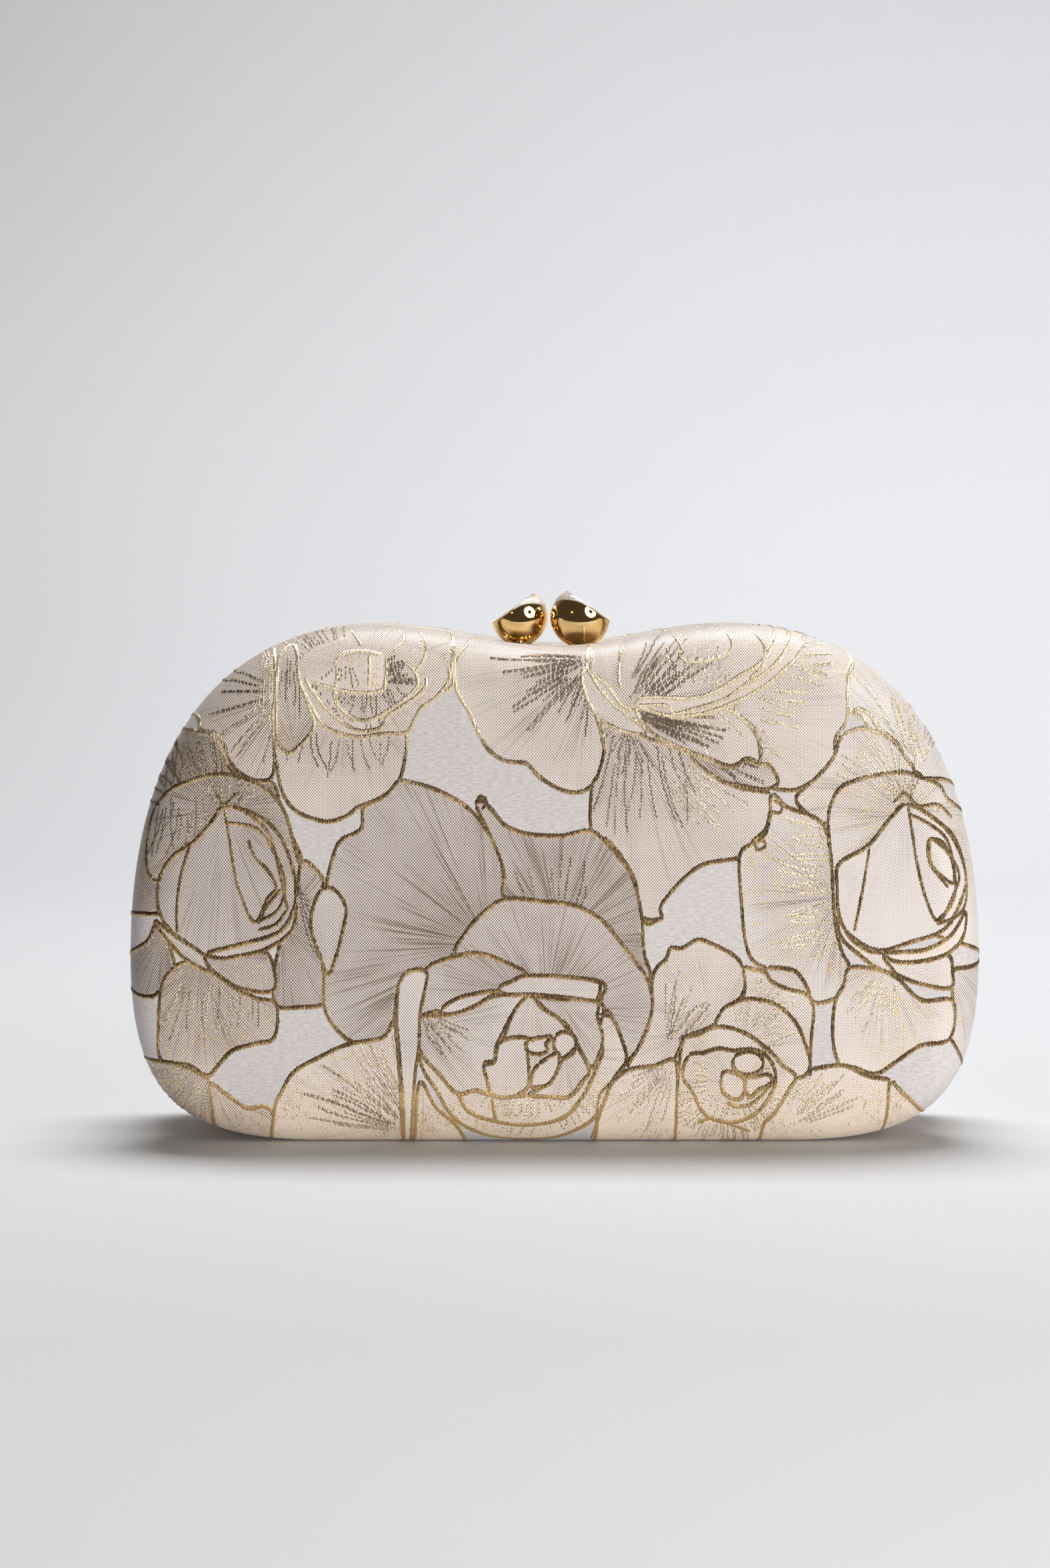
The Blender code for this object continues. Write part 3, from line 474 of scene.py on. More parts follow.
def rose_bottom():
    petal(((-32.5, -15), (-32, 2), (-31, 13), (-27.5, 7.5), (-21, 1), (-19.5, -15)),
          (-30, 14), dark=0.26, warm=0.9, streak=0.5, gilt=0.8)
    petal(((-31.2, 28), (-31.2, 20), (-30, 15.5), (-27.4, 11.6), (-24.3, 6.6), (-19.7, 2.8), (-11.2, 0.5),
           (-2, 0.5), (5.7, 2.8), (10.3, 6.6), (13.4, 13.5), (16.5, 18.2), (15.3, 23.5), (13.2, 28.2),
           (10.5, 30), (-6.5, 33.5), (-19.5, 31)),
          (-3, 20), dark=0.28, warm=0.8, streak=0.4, gilt=0.7)
    hatch((-4, 24), (222, 318), (18, 23), 26, 0.85)
    petal(((-31.2, 27.8), (-30.9, 20.5), (-26.6, 15.1), (-22.4, 10.5), (-19.7, 6.6), (-13.5, 4.3),
           (-5.9, 3.5), (1.8, 5.1), (6.5, 9.7), (9.5, 15.9), (11.1, 20.5), (10.4, 25.5), (10, 32),
           (-6.5, 33.5), (-25, 29.5)),
          (-3, 22), dark=0.28, warm=0.7, streak=0.4, gilt=0.6)
    hatch((-6, 22), (230, 310), (13, 18), 20, 0.85)
    petal(((-31.2, 27.8), (-25.1, 28.8), (-18.2, 30.9), (-13.5, 33.2), (-5.9, 33.2), (-9.7, 28.9),
           (-12, 24.3), (-13.5, 21.2), (-13.9, 18.2), (-16.2, 17.4), (-15.5, 13.5), (-14.3, 10.1),
           (-18.2, 11.2), (-22.4, 10.5), (-26.6, 15.1), (-30.9, 20.5)),
          (-31, 26), dark=0.33, warm=0.4, streak=0.5, reach=26)
    hatch((-33, 31), (-62, -22), (4, 17), 10, 0.3)
    petal(((-4.3, 32.8), (1.8, 32.4), (9.5, 32), (9.9, 28.2), (11.1, 23.5), (10.3, 19.7), (8.8, 16.6),
           (7.2, 18.2), (4.9, 22.8), (2.6, 26.6), (-1.2, 29.3)),
          (2, 31), dark=0.36, warm=0.45, streak=0.5, reach=20)
    petal(((-5.9, 33.2), (-9.7, 28.9), (-11.6, 23.5), (-13.5, 21), (-13.9, 18), (-16.2, 17), (-15.5, 13.5),
           (-14.3, 10.1), (-9.7, 9.7), (-5.9, 10.1), (-1.2, 9.7), (3.4, 9.7), (6.5, 13.2), (8, 15.9),
           (5.3, 21.2), (4.9, 23.2), (2.6, 26.2), (0.3, 28.4), (-2.8, 30.4)),
          (-5, 34), dark=0.32, warm=0.5, streak=0.4)
    petal(((-12.8, 22), (-9.7, 23.5), (-5.9, 23.2), (-6.3, 20.5), (-5.9, 15.9), (-6.2, 12), (-9.7, 9.7),
           (-14.3, 10.1), (-15.5, 13.5), (-16.2, 17), (-13.9, 17.8)),
          (-10, 24), dark=0.29, warm=0.5, streak=0.3)
    petal(((1.8, 18.2), (4.3, 20), (5.3, 21.2), (8, 15.9), (6.5, 13.5), (3.4, 9.7), (-1.2, 9.7),
           (-5.9, 10.1), (-2.8, 12), (0.3, 15.1)),
          (2, 20), dark=0.3, warm=0.5, streak=0.4)
    petal(((-5.9, 22.8), (-3.5, 23.5), (-0.6, 23.7), (-2, 22), (-1.6, 20.5), (-3.5, 19.7), (-5.9, 20.1),
           (-6.6, 21.6)),
          (-6, 23), dark=0.26, warm=0.5, streak=0.2)
    petal(((0.3, 23.7), (1.8, 24.9), (4.2, 24.1), (4.9, 21.8), (3.8, 20.1), (1.8, 18.7), (0.3, 20.3),
           (-0.2, 22)),
          (1, 25), dark=0.26, warm=0.5, streak=0.2)
    petal(((-3.5, 17.4), (0.3, 19.9), (1.1, 18.9), (0.7, 15.9), (-1.2, 12.8), (-3.5, 12), (-5.4, 12.2),
           (-5, 15.2)),
          (-3, 18), dark=0.28, warm=0.5, streak=0.2)
    petal(((-25.9, 30.1), (-22.8, 32.4), (-18.2, 33.7), (-12.8, 34.3), (-15.1, 32.8), (-18.2, 30.9),
           (-22, 29.3), (-25.1, 28.9)),
          (-26, 29), dark=0.28, warm=0.5, streak=0.2)
    petal(((-12.8, 35.1), (-9.7, 36.6), (-6.6, 37.8), (1.8, 37.6), (9.5, 36.6), (10.5, 35.1), (9.9, 32.4),
           (8.8, 32), (1.8, 32.9), (-5.9, 33.5), (-11.2, 33.5)),
          (-12, 35), dark=0.32, warm=0.4, streak=0.2)
    petal(((-64.5, -15), (-64.5, 0), (-64.5, 6.5), (-63, 10.5), (-60, 15.5), (-54, 19), (-47.5, 22),
           (-39.5, 23.5), (-37, 27), (-36, 18.5), (-35.5, 10.5), (-34.5, 0), (-34, -15)),
          (-36, 4), dark=0.24, warm=0.8, streak=0.6, gilt=0.7, reach=30)
    hatch((-33, 2), (100, 178), (3, 26), 22, 0.6)
    petal(((-35.9, 35.1), (-34.3, 38.2), (-31.2, 39.3), (-29.3, 38.2), (-29.7, 35.1), (-30.9, 28.9),
           (-31.2, 21.2), (-32, 15.9), (-32.6, 8.2), (-32.9, 0.5), (-33.1, -12), (-34.8, -12), (-34.6, 2),
           (-34.9, 8.2), (-35.3, 14), (-35.8, 21.2), (-36.3, 28.2)),
          (-33, 0), dark=0.32, warm=0.4, streak=0.2)


def rose_bottom_right():
    petal(((46.5, -15), (46.8, 1.5), (49.5, 5), (53, 10), (55, 14), (59, 16), (66.5, 17), (72, 14.5),
           (77.5, 13), (76.5, 7), (73, 0), (71, -15)),
          (52, 4), dark=0.2, warm=0.7, streak=0.4, gilt=0.5)
    hatch((52, 2), (15, 75), (5, 22), 12, 0.8)
    petal(((77.5, 13), (81, 10), (88, 7), (116, 2), (100, -22), (72, -16), (73, 0), (76.5, 7)),
          (78, 12), dark=0.2, warm=0.8, streak=0.5, gilt=0.6)
    petal(((49, 39.5), (52.2, 39.5), (55.5, 38.7), (57.7, 35.7), (58.4, 33), (53.9, 33.6), (50.2, 35.4),
           (48.4, 38)),
          (58, 36), dark=0.3, warm=0.6, streak=0.4, gilt=0.4)
    petal(((17, 16.5), (23.4, 17), (27.2, 18.3), (28.6, 20.5), (29.9, 23.5), (33.2, 24.9), (36.7, 26.5),
           (39.2, 30.3), (42.5, 32.5), (43.8, 35.7), (43.3, 39.5), (41.4, 42.3), (36.5, 45), (32.9, 46.1),
           (29.4, 44.2), (26.7, 44.2), (25.6, 41.7), (23.4, 39.5), (22.3, 36), (22.5, 31), (21.5, 26),
           (19.5, 21.5)),
          (36, 26), dark=0.3, warm=0.7, streak=0.4, gilt=0.25, reach=26)
    hatch((25, 19), (40, 90), (4, 22), 12, 0.45)
    petal(((43.5, 39.5), (46, 39.2), (48.4, 38.5), (50.1, 36.3), (53.9, 34.6), (57.7, 33.6), (59.3, 31.4),
           (59.6, 28.7), (59.1, 23.8), (58.8, 18.3), (58.2, 15), (50, 20), (43, 26), (43.8, 35.7)),
          (42, 26), dark=0.28, warm=0.7, streak=0.4, gilt=0.7, reach=26)
    hatch((44, 24), (25, 80), (7, 16), 14, 0.85)
    petal(((38.1, 29.2), (39.7, 30.8), (42.5, 31.9), (45.2, 32.5), (49, 31.9), (52.3, 30.3), (55, 27.6),
           (56.6, 24.9), (57.4, 22.7), (58.8, 18.3), (58.2, 15.3), (56.1, 14.2), (53.3, 16.1), (50.6, 19.4),
           (47.4, 22.1), (44.1, 24.3), (39.7, 25.4), (37, 26.2)),
          (42, 22), dark=0.28, warm=0.7, streak=0.4, gilt=0.6, reach=20)
    hatch((43, 20), (10, 100), (6, 14), 14, 0.8)
    petal(((9.5, -15), (9.5, 1), (10.5, 6.5), (13, 12.5), (17, 16), (23, 17), (27.6, 18.3), (28.4, 12),
           (28, 6.5), (27.7, 0), (27.5, -15)),
          (28, 16), dark=0.22, warm=0.8, streak=0.5, gilt=0.5)
    hatch((28, 19), (190, 262), (3, 18), 12, 0.7)
    petal(((29.9, 23.2), (33.2, 24.3), (36.5, 25.9), (40.8, 25.7), (45.2, 23.8), (47.9, 21.6), (50.6, 19.4),
           (52.3, 17.2), (55.5, 14.5), (53.9, 11.2), (50.6, 6.3), (47.9, 3.1), (46.8, 0), (46, -12),
           (28, -12), (27.7, 0.3), (28, 5.8), (28.3, 11.8), (28.8, 18.3)),
          (40, 14), dark=0.27, warm=0.9, streak=0.5, gilt=0.8, reach=18)
    hatch((40, 13), (190, 345), (9, 15), 34, 0.85)
    petal(((31, 19.4), (34.3, 20), (37.6, 21), (41.4, 20.5), (45.2, 20.8), (48.4, 19.6), (50.4, 16.8),
           (50.9, 13.4), (49.5, 9.7), (46.8, 6.6), (43, 4.5), (39, 4.2), (34.5, 6), (32, 10.5),
           (29.5, 14.8)),
          (41, 13), dark=0.3, warm=0.8, streak=0.5, gilt=0.6, reach=14)
    hatch((41, 14), (150, 400), (6, 10), 26, 0.7)
    petal(((41.4, 18.9), (43.5, 20.2), (46.3, 20), (47.9, 18.3), (47.6, 16.1), (45.2, 15), (42.5, 15.3),
           (41.1, 17)),
          (45, 14), dark=0.28, warm=0.8, streak=0.3, gilt=0.5, reach=8)
    petal(((38.4, 14), (39.2, 15.6), (41.4, 15.3), (43.5, 14), (43.8, 11.2), (42.5, 9.1), (40.3, 9.6),
           (38.6, 11.2)),
          (43, 13), dark=0.28, warm=0.8, streak=0.3, gilt=0.5, reach=8)
    petal(((44.1, 14), (46.8, 14.5), (49, 15), (50.2, 13.6), (49, 12.3), (46.8, 11.2), (45.2, 9.6),
           (44.1, 11.2)),
          (44, 13), dark=0.28, warm=0.8, streak=0.3, gilt=0.5, reach=8)


def corner_left():
    petal(((-118, 20), (-100, 19.5), (-93, 18.5), (-87, 17.5), (-81, 14.5), (-79.5, 12.5), (-78.5, 8),
           (-78, 4), (-76.5, -3), (-74, -18), (-110, -18)),
          (-80, 16), dark=0.42, warm=1.0, streak=0.6, gilt=0.5)
    hatch((-80, 17), (180, 280), (4, 20), 14, 0.7)
    petal(((-79.5, 12.5), (-76, 10.5), (-71, 7.5), (-64.5, 5), (-64.5, -15), (-76, -15), (-77, -3),
           (-78.5, 6)),
          (-78, 11), dark=0.36, warm=0.9, streak=0.5, gilt=0.5)


def small_white_patch():
    """The little pale patch between the petals at the right."""
    petal(((69, 98), (71, 97), (72.5, 94.5), (75, 93.5), (74, 95.5), (72.2, 98), (70, 99)),
          (70, 97), dark=0.05, warm=0.1, streak=0.0)


# Lines inside the petals: folds and edges that close no shape of their own.
FOLDS = (
    ((15.6, 113.6), (14.7, 107.4), (15.2, 103.8)),
    ((25, 117.5), (29, 113.6), (28.6, 111.8), (30.8, 110), (36.2, 110.5)),
    ((37, 118.4), (40.6, 115), (39.7, 111.8), (34.4, 110)),
    ((45, 118), (48.2, 113.6), (47.8, 109.1), (45, 106)),
    ((-47, 118), (-44.5, 113.8)),
    ((-36, 118), (-34.5, 115), (-37, 112.3)),
    ((-31, 117.4), (-29.7, 114.5), (-30, 110.8), (-32.5, 107)),
    ((-84, 67.5), (-86, 61), (-87, 54), (-87, 47.5)),
    ((-76, 76), (-75, 70), (-74, 63.5), (-72.5, 57), (-69, 50), (-66, 55.5), (-64, 58), (-66, 62),
     (-69, 65), (-70.5, 69)),
    ((-76, 73), (-68.5, 71.5), (-64.5, 66), (-62, 59.5), (-63.5, 53), (-68.5, 50)),
    ((-78, 80), (-76, 77), (-73, 80)),
    ((72.5, 67), (71, 58), (69, 48)),
    ((81.5, 76.5), (82.5, 70), (83.5, 63.5), (85.5, 55.5), (88.5, 50), (91.5, 56), (93, 61), (90.5, 66),
     (86.5, 69), (86.5, 63.5), (90.5, 58)),
    ((86.4, 69.3), (89.3, 68.4), (91.3, 64.3), (91.8, 59.3), (89.7, 60.1), (86.8, 63.4), (86.4, 68.4)),
    ((83, 76.7), (88.1, 73.4), (92.2, 69.2), (94.3, 62.7), (94.7, 56), (93, 51.9), (88.1, 49.4)),
    ((81.4, 75), (86.4, 72.5), (90.5, 68.4), (92.2, 59.3), (91.3, 54.3), (88.1, 50.2)),
    ((78.1, 77.5), (80.6, 79.6), (83.9, 76.7), (88.1, 77.1), (91.3, 74.2)),
    ((-62.8, 57.7), (-66.2, 53.6), (-68.2, 49.6)),
    ((-61.4, 53), (-64.1, 49.6), (-68.2, 48.2)),
    ((-72.9, 76.4), (-68.9, 73.7), (-65.4, 69.7), (-63.6, 63), (-62.4, 57.7), (-61.4, 53)),
    ((-50.3, 110.2), (-50.2, 106.5), (-50.5, 103.7), (-50, 99.6)),
    ((-50.3, 110.2), (-47.8, 112.1), (-43.5, 112.4), (-39.7, 111.5)),
    ((-42.6, 111.5), (-42.8, 107), (-42.9, 104)),
    ((-38.8, 111), (-38.8, 107.1), (-39.4, 103.7)),
    ((-14.3, 10.1), (-14, 7), (-13.5, 4.3)),
    ((10.3, 29), (13.4, 27.8), (15.3, 23.5), (16.5, 18.2), (13.4, 13.5), (10.3, 9.7), (9.5, 3.5),
     (8.4, 0.5)),
    ((-16, 117), (-20.5, 113.5), (-22.5, 110)),
    ((39.7, 8.5), (41.9, 7.4), (45.2, 8), (47.9, 10.2), (50.1, 12.9)),
    ((33, 4), (36, 5), (41, 3.5), (45, 2)),
    ((49.5, 75.5), (51.8, 75.2), (52.2, 77), (50.4, 78)),
    ((47.2, 69.5), (48.6, 67.8), (46.8, 66.7), (45.8, 68.4)),
    ((-18.2, 77), (-17.2, 79), (-15.6, 78), (-16.6, 76)),
    ((20.2, 51.4), (21.5, 49.5), (24.3, 51)),
)

for draw in (rose_top_left, bud_left, corner_left, rose_top_right, bud_right, small_white_patch,
             petals_middle, rose_bottom_right, rose_bottom):
    draw()


def inside(line, points):
    """Which points lie inside a closed line."""
    found = np.zeros(len(points), bool)
    low, high = line.min(axis=0), line.max(axis=0)
    near = np.flatnonzero(((points >= low) & (points <= high)).all(axis=1))
    if len(near) == 0:
        return found
    x, y = points[near, 0], points[near, 1]
    odd = np.zeros(len(near), bool)
    for (xa, ya), (xb, yb) in zip(line, np.roll(line, -1, axis=0)):
        if ya == yb:
            continue
        crosses = (ya > y) != (yb > y)
        odd ^= crosses & (x < (xb - xa) * (y - ya) / (yb - ya) + xa)
    found[near] = odd
    return found


FADE_START = 1.15  # a petal's streaks fade out from the focus to this times their reach
NOISE_SHIFT = 100.0  # keeps the streaks of one petal different from the next one's


def woven_values(flat):
    """What the weave's material reads at each flat point of the design."""
    fan = np.zeros((len(flat), 3), np.float32)
    tint = np.zeros((len(flat), 3), np.float32)
    glint = np.zeros(len(flat), np.float32)
    for number, shape in enumerate(PETALS):
        here = inside(shape["line"], flat)
        if not here.any():
            continue
        middle = shape["line"].mean(axis=0) - shape["focus"]
        facing = math.atan2(middle[1], middle[0])
        way = flat[here] - shape["focus"]
        angle = np.mod(np.arctan2(way[:, 1], way[:, 0]) - facing + math.pi, math.tau) - math.pi
        radius = np.linalg.norm(way, axis=1)
        fade = np.clip(FADE_START - radius / shape["reach"], 0.0, 1.0)
        fan[here] = np.column_stack((angle, radius + NOISE_SHIFT * number, shape["streak"] * fade))
        tint[here] = (1.0, shape["dark"], shape["warm"])
        glint[here] = shape["gilt"]
    return fan, tint, glint


# ---------------------------------------------------------------- meshes

def add_mesh(name, points, faces, look):
    """A smooth mesh object from points in millimetres."""
    mesh = bpy.data.meshes.new(name)
    mesh.from_pydata((np.asarray(points) * MM).tolist(), [], [tuple(face) for face in faces])
    mesh.validate()
    mesh.update()
    mesh.shade_smooth()
    made = bpy.data.objects.new(name, mesh)
    bpy.context.scene.collection.objects.link(made)
    mesh.materials.append(look)
    return made


def band_faces(count, rows, start=0, closed=True, flip=False):
    """Quads between rows of count points each."""
    faces = []
    for row in range(rows - 1):
        for i in range(count if closed else count - 1):
            j = (i + 1) % count
            quad = (start + row * count + i, start + row * count + j,
                    start + (row + 1) * count + j, start + (row + 1) * count + i)
            faces.append(quad[::-1] if flip else quad)
    return faces


def set_values(made, name, values):
    """A point attribute for the material: three numbers each, two with a zero added, or one."""
    values = np.asarray(values, np.float32)
    if values.ndim == 2 and values.shape[1] == 2:
        values = np.column_stack((values, np.zeros(len(values), np.float32)))
    kind, field = ("FLOAT", "value") if values.ndim == 1 else ("FLOAT_VECTOR", "vector")
    made.data.attributes.new(name, kind, "POINT").data.foreach_set(field, values.ravel())


def section_inside(distance, rows):
    """The section moved into the bag, as rows of (distance from the seam, inset), and its flat insets."""
    way = np.gradient(FINE_SECTION, axis=0)
    normal = np.column_stack((-way[:, 1], way[:, 0]))
    normal /= np.linalg.norm(normal, axis=1)[:, None]
    at = np.linspace(0.0, WRAP, rows)
    moved = FINE_SECTION + normal * distance
    depth = np.interp(at, SECTION_ALONG, moved[:, 0])
    inset = np.interp(at, SECTION_ALONG, moved[:, 1])
    return depth, inset, FACE_INSET - (WRAP - at)


def level_ring(ring, depth):
    """A ring of (across, up) points placed at a depth in front of the seam."""
    return np.column_stack((ring[:, 0], np.full(len(ring), -depth), ring[:, 1]))


def half_surface(count, rows, rings, distance):
    """Points some distance under the outer surface, from rim to middle, and their flat places."""
    points, normals = outline(count)
    depths, insets, flats = section_inside(distance, rows)
    placed, flat = [], []
    for depth, inset, flat_inset in zip(depths, insets, flats):
        placed.append(level_ring(points - normals * inset, depth))
        flat.append(points - normals * flat_inset)
    last, last_flat = placed[-1][:, (0, 2)], flat[-1]
    for step in range(1, rings):
        share = 1 - step / rings
        placed.append(level_ring(FACE_MIDDLE + (last - FACE_MIDDLE) * share, face_depth(share) - distance))
        flat.append(FACE_MIDDLE + (last_flat - FACE_MIDDLE) * share)
    tip = (FACE_MIDDLE[0], -(HALF_DEPTH - distance), FACE_MIDDLE[1])
    return np.vstack((*placed, tip)), np.vstack((*flat, FACE_MIDDLE))


def tray(name, layer, look, count, rows, rings, woven=False, inner=(10, 10)):
    """One layer of the front half as a thin closed tray."""
    inward, thickness = LAYERS[layer]
    outer, flat = half_surface(count, rows, rings, inward)
    under, under_flat = half_surface(count, *inner, inward + thickness)
    faces = band_faces(count, rows + rings - 1)
    tip = len(outer) - 1
    last = tip - count
    faces += [(last + i, last + (i + 1) % count, tip) for i in range(count)]
    start = len(outer)
    faces += band_faces(count, sum(inner) - 1, start, flip=True)
    tip = start + len(under) - 1
    last = tip - count
    faces += [(tip, last + (i + 1) % count, last + i) for i in range(count)]
    faces += [((i + 1) % count, i, start + i, start + (i + 1) % count) for i in range(count)]
    made = add_mesh(name, np.vstack((outer, under)), faces, look)
    both = np.vstack((flat, under_flat))
    set_values(made, "weave", both)
    if woven:
        for value, numbers in zip(("fan", "tint", "glint"), woven_values(both)):
            set_values(made, value, numbers)
    return made


def to_back(name, front):
    """The back half's copy of a piece of the front half: the same, turned half way round."""
    mesh = front.data.copy()
    mesh.transform(Matrix.Rotation(math.pi, 4, "Z"))
    made = bpy.data.objects.new(name, mesh)
    bpy.context.scene.collection.objects.link(made)
    return made


THREAD_STEP = 0.4
OUTLINE_WIDTH = 1.15
FOLD_WIDTH = 0.95
OUTLINE_TONE = -1.0  # tells the material an outline from a stroke, whose tone goes from 0 to 1
OUTLINE_TUCK = 17.5  # beyond the bag's outline, where the cloth goes into the frame
STROKE_TUCK = 17.0


def shown_runs(line, number, closed=False, low=None, inside_of=None):
    """The runs of a line that show: below low, inside a closed line, and not under petals after number."""
    ends = np.roll(line, -1, axis=0) if closed else line[1:]
    length = np.linalg.norm(ends - line[:len(ends)], axis=1).sum()
    points = evenly(line, max(int(length / THREAD_STEP), 4), closed)
    if closed:
        points = np.vstack((points, points[:1]))
    shown = np.ones(len(points), bool)
    if low is not None:
        shown &= points[:, 1] < low
    if inside_of is not None:
        shown &= inside(inside_of, points)
    for later in PETALS[number + 1:]:
        shown &= ~inside(later["line"], points)
    edges = np.flatnonzero(np.diff(np.concatenate(((0,), shown.astype(int), (0,)))))
    return [points[first:last] for first, last in zip(edges[::2], edges[1::2]) if last - first >= 3]


def upright_floats():
    """Where the strokes' single threads lie: middles snapped to the weave's columns, and their tones."""
    dice = np.random.default_rng(5)
    column = DOT_PITCH / 2
    middles, tones = [], []
    for number, line, tone in STROKES:
        for run in shown_runs(line, number, inside_of=PETALS[number]["line"]):
            length = np.linalg.norm(np.diff(run, axis=0), axis=1).sum()
            rise = abs(run[-1][1] - run[0][1]) / max(length, 1e-6)
            points = evenly(run, max(int(length / (0.34 + 0.3 * rise)), 2), closed=False)
            points[:, 0] = np.round(points[:, 0] / column) * column
            middles.append(points)
            tones.append(np.clip(tone + dice.uniform(-0.15, 0.15, len(points)), 0.0, 1.0))
    middles = np.vstack(middles)
    kept = nearest_edge(middles)[0] > -STROKE_TUCK
    return middles[kept], np.concatenate(tones)[kept]


def stroke_threads(name, look):
    """The strokes that fan over the petals, each a row of short upright floats."""
    dice = np.random.default_rng(3)
    middles, tones = upright_floats()
    count = len(middles)
    half_length = dice.uniform(0.34, 0.55, count)
    rows = ((-1.0, 0.05, -0.02), (-0.55, 0.13, 0.09), (0.55, 0.13, 0.09), (1.0, 0.05, -0.02))
    crown = 0.04
    flats, lifts = [], []
    for along, wide, lift in rows:
        for across in (-1.0, 0.0, 1.0):
            flats.append(middles + np.column_stack((np.full(count, wide * across), half_length * along)))
            lifts.append(np.full(count, lift + (crown if across == 0 and lift > 0 else 0.0)))
    flat = np.stack(flats, axis=1).reshape(-1, 2)
    lift = np.stack(lifts, axis=1).ravel()
    each = len(flats)
    one = np.array(band_faces(3, len(rows), closed=False))
    faces = (one[None, :, :] + each * np.arange(count)[:, None, None]).reshape(-1, 4)
    made = add_mesh(name, raised(flat, lift), faces.tolist(), look)
    set_values(made, "weave", flat)
    tone = np.repeat(tones, each)
    set_values(made, "tone", np.column_stack((tone, np.zeros((len(tone), 2)))))
    return made


def gold_threads(name, look):
    """The woven outlines and folds: low ribbons of upright floats on the cloth, with combed edges."""
    dice = np.random.default_rng(7)
    top, edge = 0.18, -0.03
    ribbon = ((-1.0, edge), (-0.55, 0.7 * top), (0.0, top), (0.55, 0.7 * top), (1.0, edge))
    runs = []
    for number, shape in enumerate(PETALS):
        runs += [(run, OUTLINE_WIDTH) for run in shown_runs(shape["line"], number, True, shape["rim"])]
    for fold in FOLDS:
        line = smooth_line(as_seen(fold), LINE_STEPS)
        runs += [(run, FOLD_WIDTH) for run in shown_runs(line, len(PETALS))]
    flats, lifts, tones, faces = [], [], [], []
    total = 0
    for run, width in runs:
        run = run[nearest_edge(run)[0] > -OUTLINE_TUCK]
        if len(run) < 3:
            continue
        way = np.gradient(run, axis=0)
        way /= np.maximum(np.linalg.norm(way, axis=1)[:, None], 1e-9)
        side = np.column_stack((-way[:, 1], way[:, 0]))
        upright = np.abs(side[:, 1])
        comb = np.where(np.arange(len(run)) % 2 == 0, 0.13, -0.07) * upright
        wide = width * (0.36 + 0.14 * upright)
        half = wide + (comb + dice.uniform(-0.07, 0.07, len(run))) * width
        half[0] = half[-1] = 0.15 * width
        for across, lift in ribbon:
            flats.append(run + side * (half * across)[:, None])
            lifts.append(np.full(len(run), lift))
            # The second number marks the ribbon's lower edge, where the material paints a golden reflection.
            tones.append(np.column_stack((np.full(len(run), OUTLINE_TONE), across * side[:, 1])))
        faces += band_faces(len(run), len(ribbon), total, closed=False)
        total += len(ribbon) * len(run)
    flat = np.vstack(flats)
    made = add_mesh(name, raised(flat, np.concatenate(lifts)), faces, look)
    set_values(made, "weave", flat)
    set_values(made, "tone", np.vstack(tones))
    return made


def frame_channel(name, look):
    """The gilt channel round the front half, with rounded edges."""
    low, high = (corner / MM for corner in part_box("front_frame"))
    near, far = -high.y, -low.y
    thin, thick = 0.5, 0.8
    outer = low.z
    inner = outer + 5.2  # the channel's whole width, with both its edges
    corners = (
        (near, outer), (far, outer), (far, outer + thin), (near + thick, outer + thin),
        (near + thick, inner - thin), (far, inner - thin), (far, inner), (near, inner),
    )
    soft = (0.3, 0.16, 0.16, 0.12, 0.12, 0.16, 0.16, 0.3)
    profile = []
    for i, corner in enumerate(corners):
        here = np.array(corner)
        before = np.array(corners[i - 1]) - here
        after = np.array(corners[(i + 1) % len(corners)]) - here
        before *= soft[i] / np.linalg.norm(before)
        after *= soft[i] / np.linalg.norm(after)
        for t in (0.0, 0.33, 0.67, 1.0):
            profile.append(here + before * (1 - t) ** 2 + after * t**2)
    count = 400
    points, normals = outline(count)
    rows = [level_ring(points - normals * inset, depth) for depth, inset in profile]
    faces = band_faces(count, len(rows), flip=True)
    last = (len(rows) - 1) * count
    faces += [(last + i, i, (i + 1) % count, last + (i + 1) % count) for i in range(count)]
    return add_mesh(name, np.vstack(rows), faces, look)


def rings_of(sides, across, other):
    """Points of a unit circle between two directions, one for each side."""
    turns = np.arange(sides) * math.tau / sides
    return np.outer(np.cos(turns), across) + np.outer(np.sin(turns), other)


def end_caps(sides, rows, first=0):
    """One face over each end of a tube of rows."""
    last = first + (rows - 1) * sides
    return [tuple(range(first, first + sides))[::-1], tuple(range(last, last + sides))]


def turned(name, profile, axis, origin, look, sides):
    """A solid turned about an axis: profile is (distance along it, radius), closed at both ends."""
    along = Vector(axis).normalized()
    across = along.orthogonal().normalized()
    circle = rings_of(sides, across, along.cross(across))
    middles = [np.array(origin) + np.array(along) * d for d, _r in profile]
    rows = [middle + circle * r for middle, (_d, r) in zip(middles, profile)]
    faces = band_faces(sides, len(rows))
    points = np.vstack((*rows, middles[0], middles[-1]))
    first, last = len(points) - 2, len(points) - 1
    top = (len(rows) - 1) * sides
    faces += [(first, (i + 1) % sides, i) for i in range(sides)]
    faces += [(last, top + i, top + (i + 1) % sides) for i in range(sides)]
    return add_mesh(name, points, faces, look)


# Each ball's middle and radius, the way its facet faces (across, up), and how far the facet is from the
# middle. For its film, how far it wraps over the facet's upper edge, and how its loose tab curls.
KNOBS = {
    "front": {"ball": (-8.0, 2.0, 120.05), "r": 6.55, "facet": (-0.58, 0.815), "cut": 2.75,
              "wrap": 3.9, "curl": 0.02},
    "back": {"ball": (6.0, -2.0, 120.2), "r": 6.95, "facet": (0.575, 0.818), "cut": 3.4,
             "wrap": 3.4, "curl": -0.12},
}


def facet_of(knob):
    return Vector((knob["facet"][0], 0.0, knob["facet"][1])).normalized()


